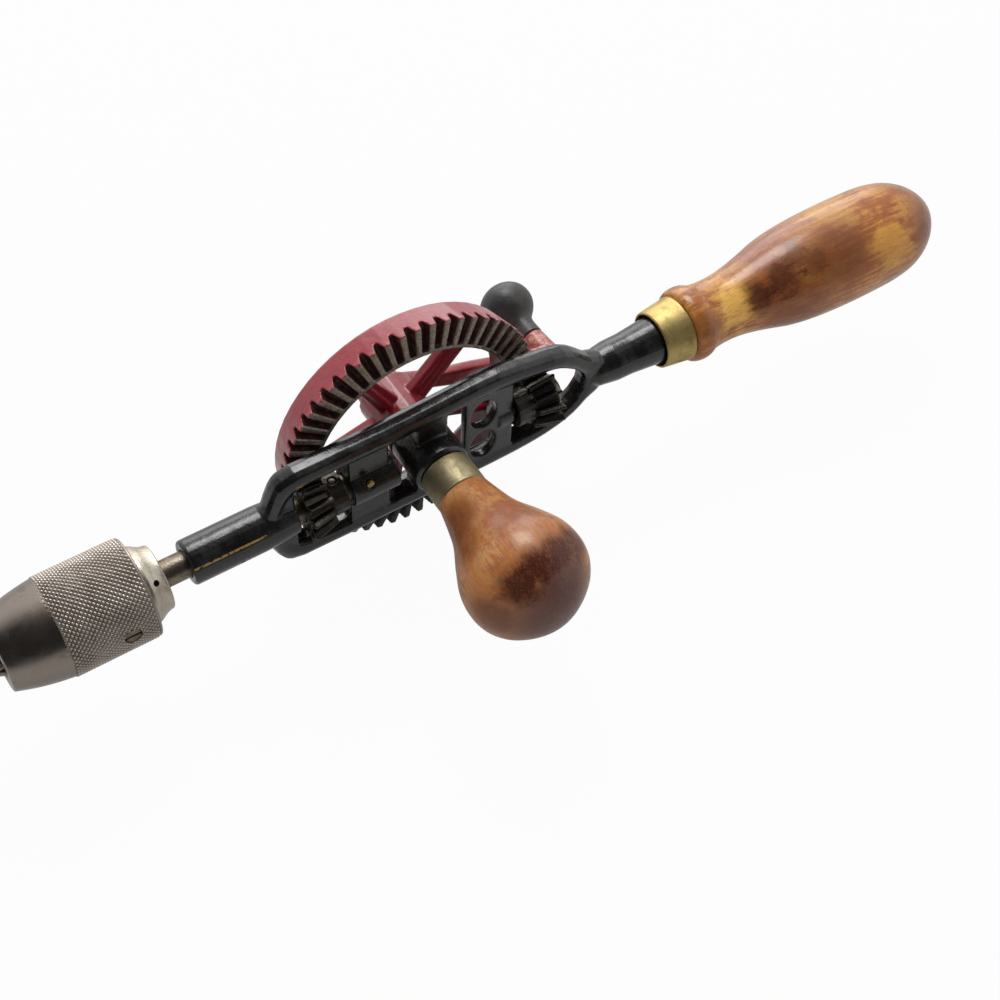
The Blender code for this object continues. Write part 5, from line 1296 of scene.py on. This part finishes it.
@dataclass
class Studio:
    """Plain pale floor, soft lights, white surroundings and the photograph's camera."""

    camera_place: Vector = Vector((-180.2, -300.4, 452.6))
    camera_right: Vector = Vector((0.8424, -0.5381, 0.0296))
    camera_up: Vector = Vector((0.4202, 0.6903, 0.5891))
    focal_share: float = 1.8
    sensor: float = 36.0
    floor_half: float = 6.0
    paper: Colour = (0.55, 0.55, 0.55)
    floor_seen: float = 0.96
    floor_mirrored: float = 0.22
    ambient: float = 0.60
    dark_side: Vector = Vector((-0.60, -0.65, 0.47))
    darkest: float = 0.03

    def build(self) -> None:
        """Set the floor, world, lights and camera."""
        self.floor()
        self.world()
        self.soft_light("overhead", Vector((0.28, 0.60, 1.08)), 0.52, 0.52, 7.6)
        self.soft_light("behind", Vector((0.50, 1.13, 0.42)), 1.0, 0.70, 4.4)
        self.camera()
        bpy.context.scene.view_settings.view_transform = 'Standard'
        LOG.info("studio ready")

    def floor(self) -> None:
        """Lay the floor under the drill."""
        work = bmesh.new()
        bmesh.ops.create_grid(work, x_segments=1, y_segments=1, size=self.floor_half)
        mesh = bpy.data.meshes.new("studio_floor")
        work.to_mesh(mesh)
        work.free()
        item = add_item("studio_floor", mesh)
        graph = Graph.paint("floor_white")
        seen = graph.out("ShaderNodeLightPath", "Is Camera Ray") * self.floor_seen
        through = graph.out("ShaderNodeLightPath", "Is Transmission Ray")
        mirrored = graph.out("ShaderNodeLightPath", "Is Glossy Ray") * self.floor_mirrored
        paper = graph.out("ShaderNodeBsdfDiffuse", 0, None, {"Color": self.paper})
        glow = graph.out("ShaderNodeEmission", 0, None, {"Color": WHITE, "Strength": 1.0})
        mesh.materials.append(graph.end(graph.out("ShaderNodeMixShader", 0, None, {
            0: seen | through | mirrored, 1: paper, 2: glow})))

    def world(self) -> None:
        """Surround the drill with white, which is darker at the front left in its reflections."""
        graph = Graph(bpy.data.worlds.new("studio_world"))
        toward = graph.out("ShaderNodeVectorMath", "Value", {"operation": 'DOT_PRODUCT'}, {
            0: graph.out("ShaderNodeTexCoord", "Generated"), 1: self.dark_side.normalized()})
        mirrored = graph.step(toward, -0.05, 0.58, 1.0, self.darkest)
        level = self.ambient
        for ray, strength in (("Is Glossy Ray", mirrored), ("Is Transmission Ray", 1.0),
                              ("Is Camera Ray", 1.0)):
            level = graph.out("ShaderNodeMix", "Result_Float", None, {
                "Factor_Float": graph.out("ShaderNodeLightPath", ray),
                "A_Float": level, "B_Float": strength})
        back = graph.out("ShaderNodeBackground", 0, None, {"Color": WHITE, "Strength": level})
        bpy.context.scene.world = graph.end(back, "ShaderNodeOutputWorld")

    @staticmethod
    def soft_light(name: str, place: Vector, width: float, depth: float, power: float) -> None:
        """Hang a rectangular light that faces the drill.

        Args:
            name: The light's name.
            place: Where it hangs.
            width: Its width.
            depth: Its depth.
            power: Its power, in watts.
        """
        lamp = bpy.data.lights.new(name, 'AREA')
        lamp.shape = 'RECTANGLE'
        lamp.size = width
        lamp.size_y = depth
        lamp.energy = power
        item = add_item(name, lamp)
        item.location = place
        item.rotation_euler = (CENTRE - place).to_track_quat('-Z', 'Y').to_euler()

    def camera(self) -> None:
        """Stand the camera where the photograph was taken from."""
        data = bpy.data.cameras.new("photo_camera")
        data.sensor_width = self.sensor
        data.lens = self.focal_share * self.sensor
        item = add_item("photo_camera", data)
        right = self.camera_right.normalized()
        behind = right.cross(self.camera_up).normalized()
        turn = Matrix((right, behind.cross(right), behind)).transposed().to_4x4()
        item.matrix_world = Matrix.Translation(CENTRE + self.camera_place * MM) @ turn
        bpy.context.scene.camera = item


def main() -> None:
    """Build the drill's looks and the studio."""
    logging.basicConfig(level=logging.INFO, format="%(name)s: %(message)s")
    finishes = Finishes()
    for part in (Chuck(finishes), SpindleLine(finishes), Frame(finishes), MainHandle(finishes),
                 SideHandle(finishes), GearWheel(finishes), CrankGrip(finishes), Studio()):
        part.build()


if __name__ == "__main__":
    main()
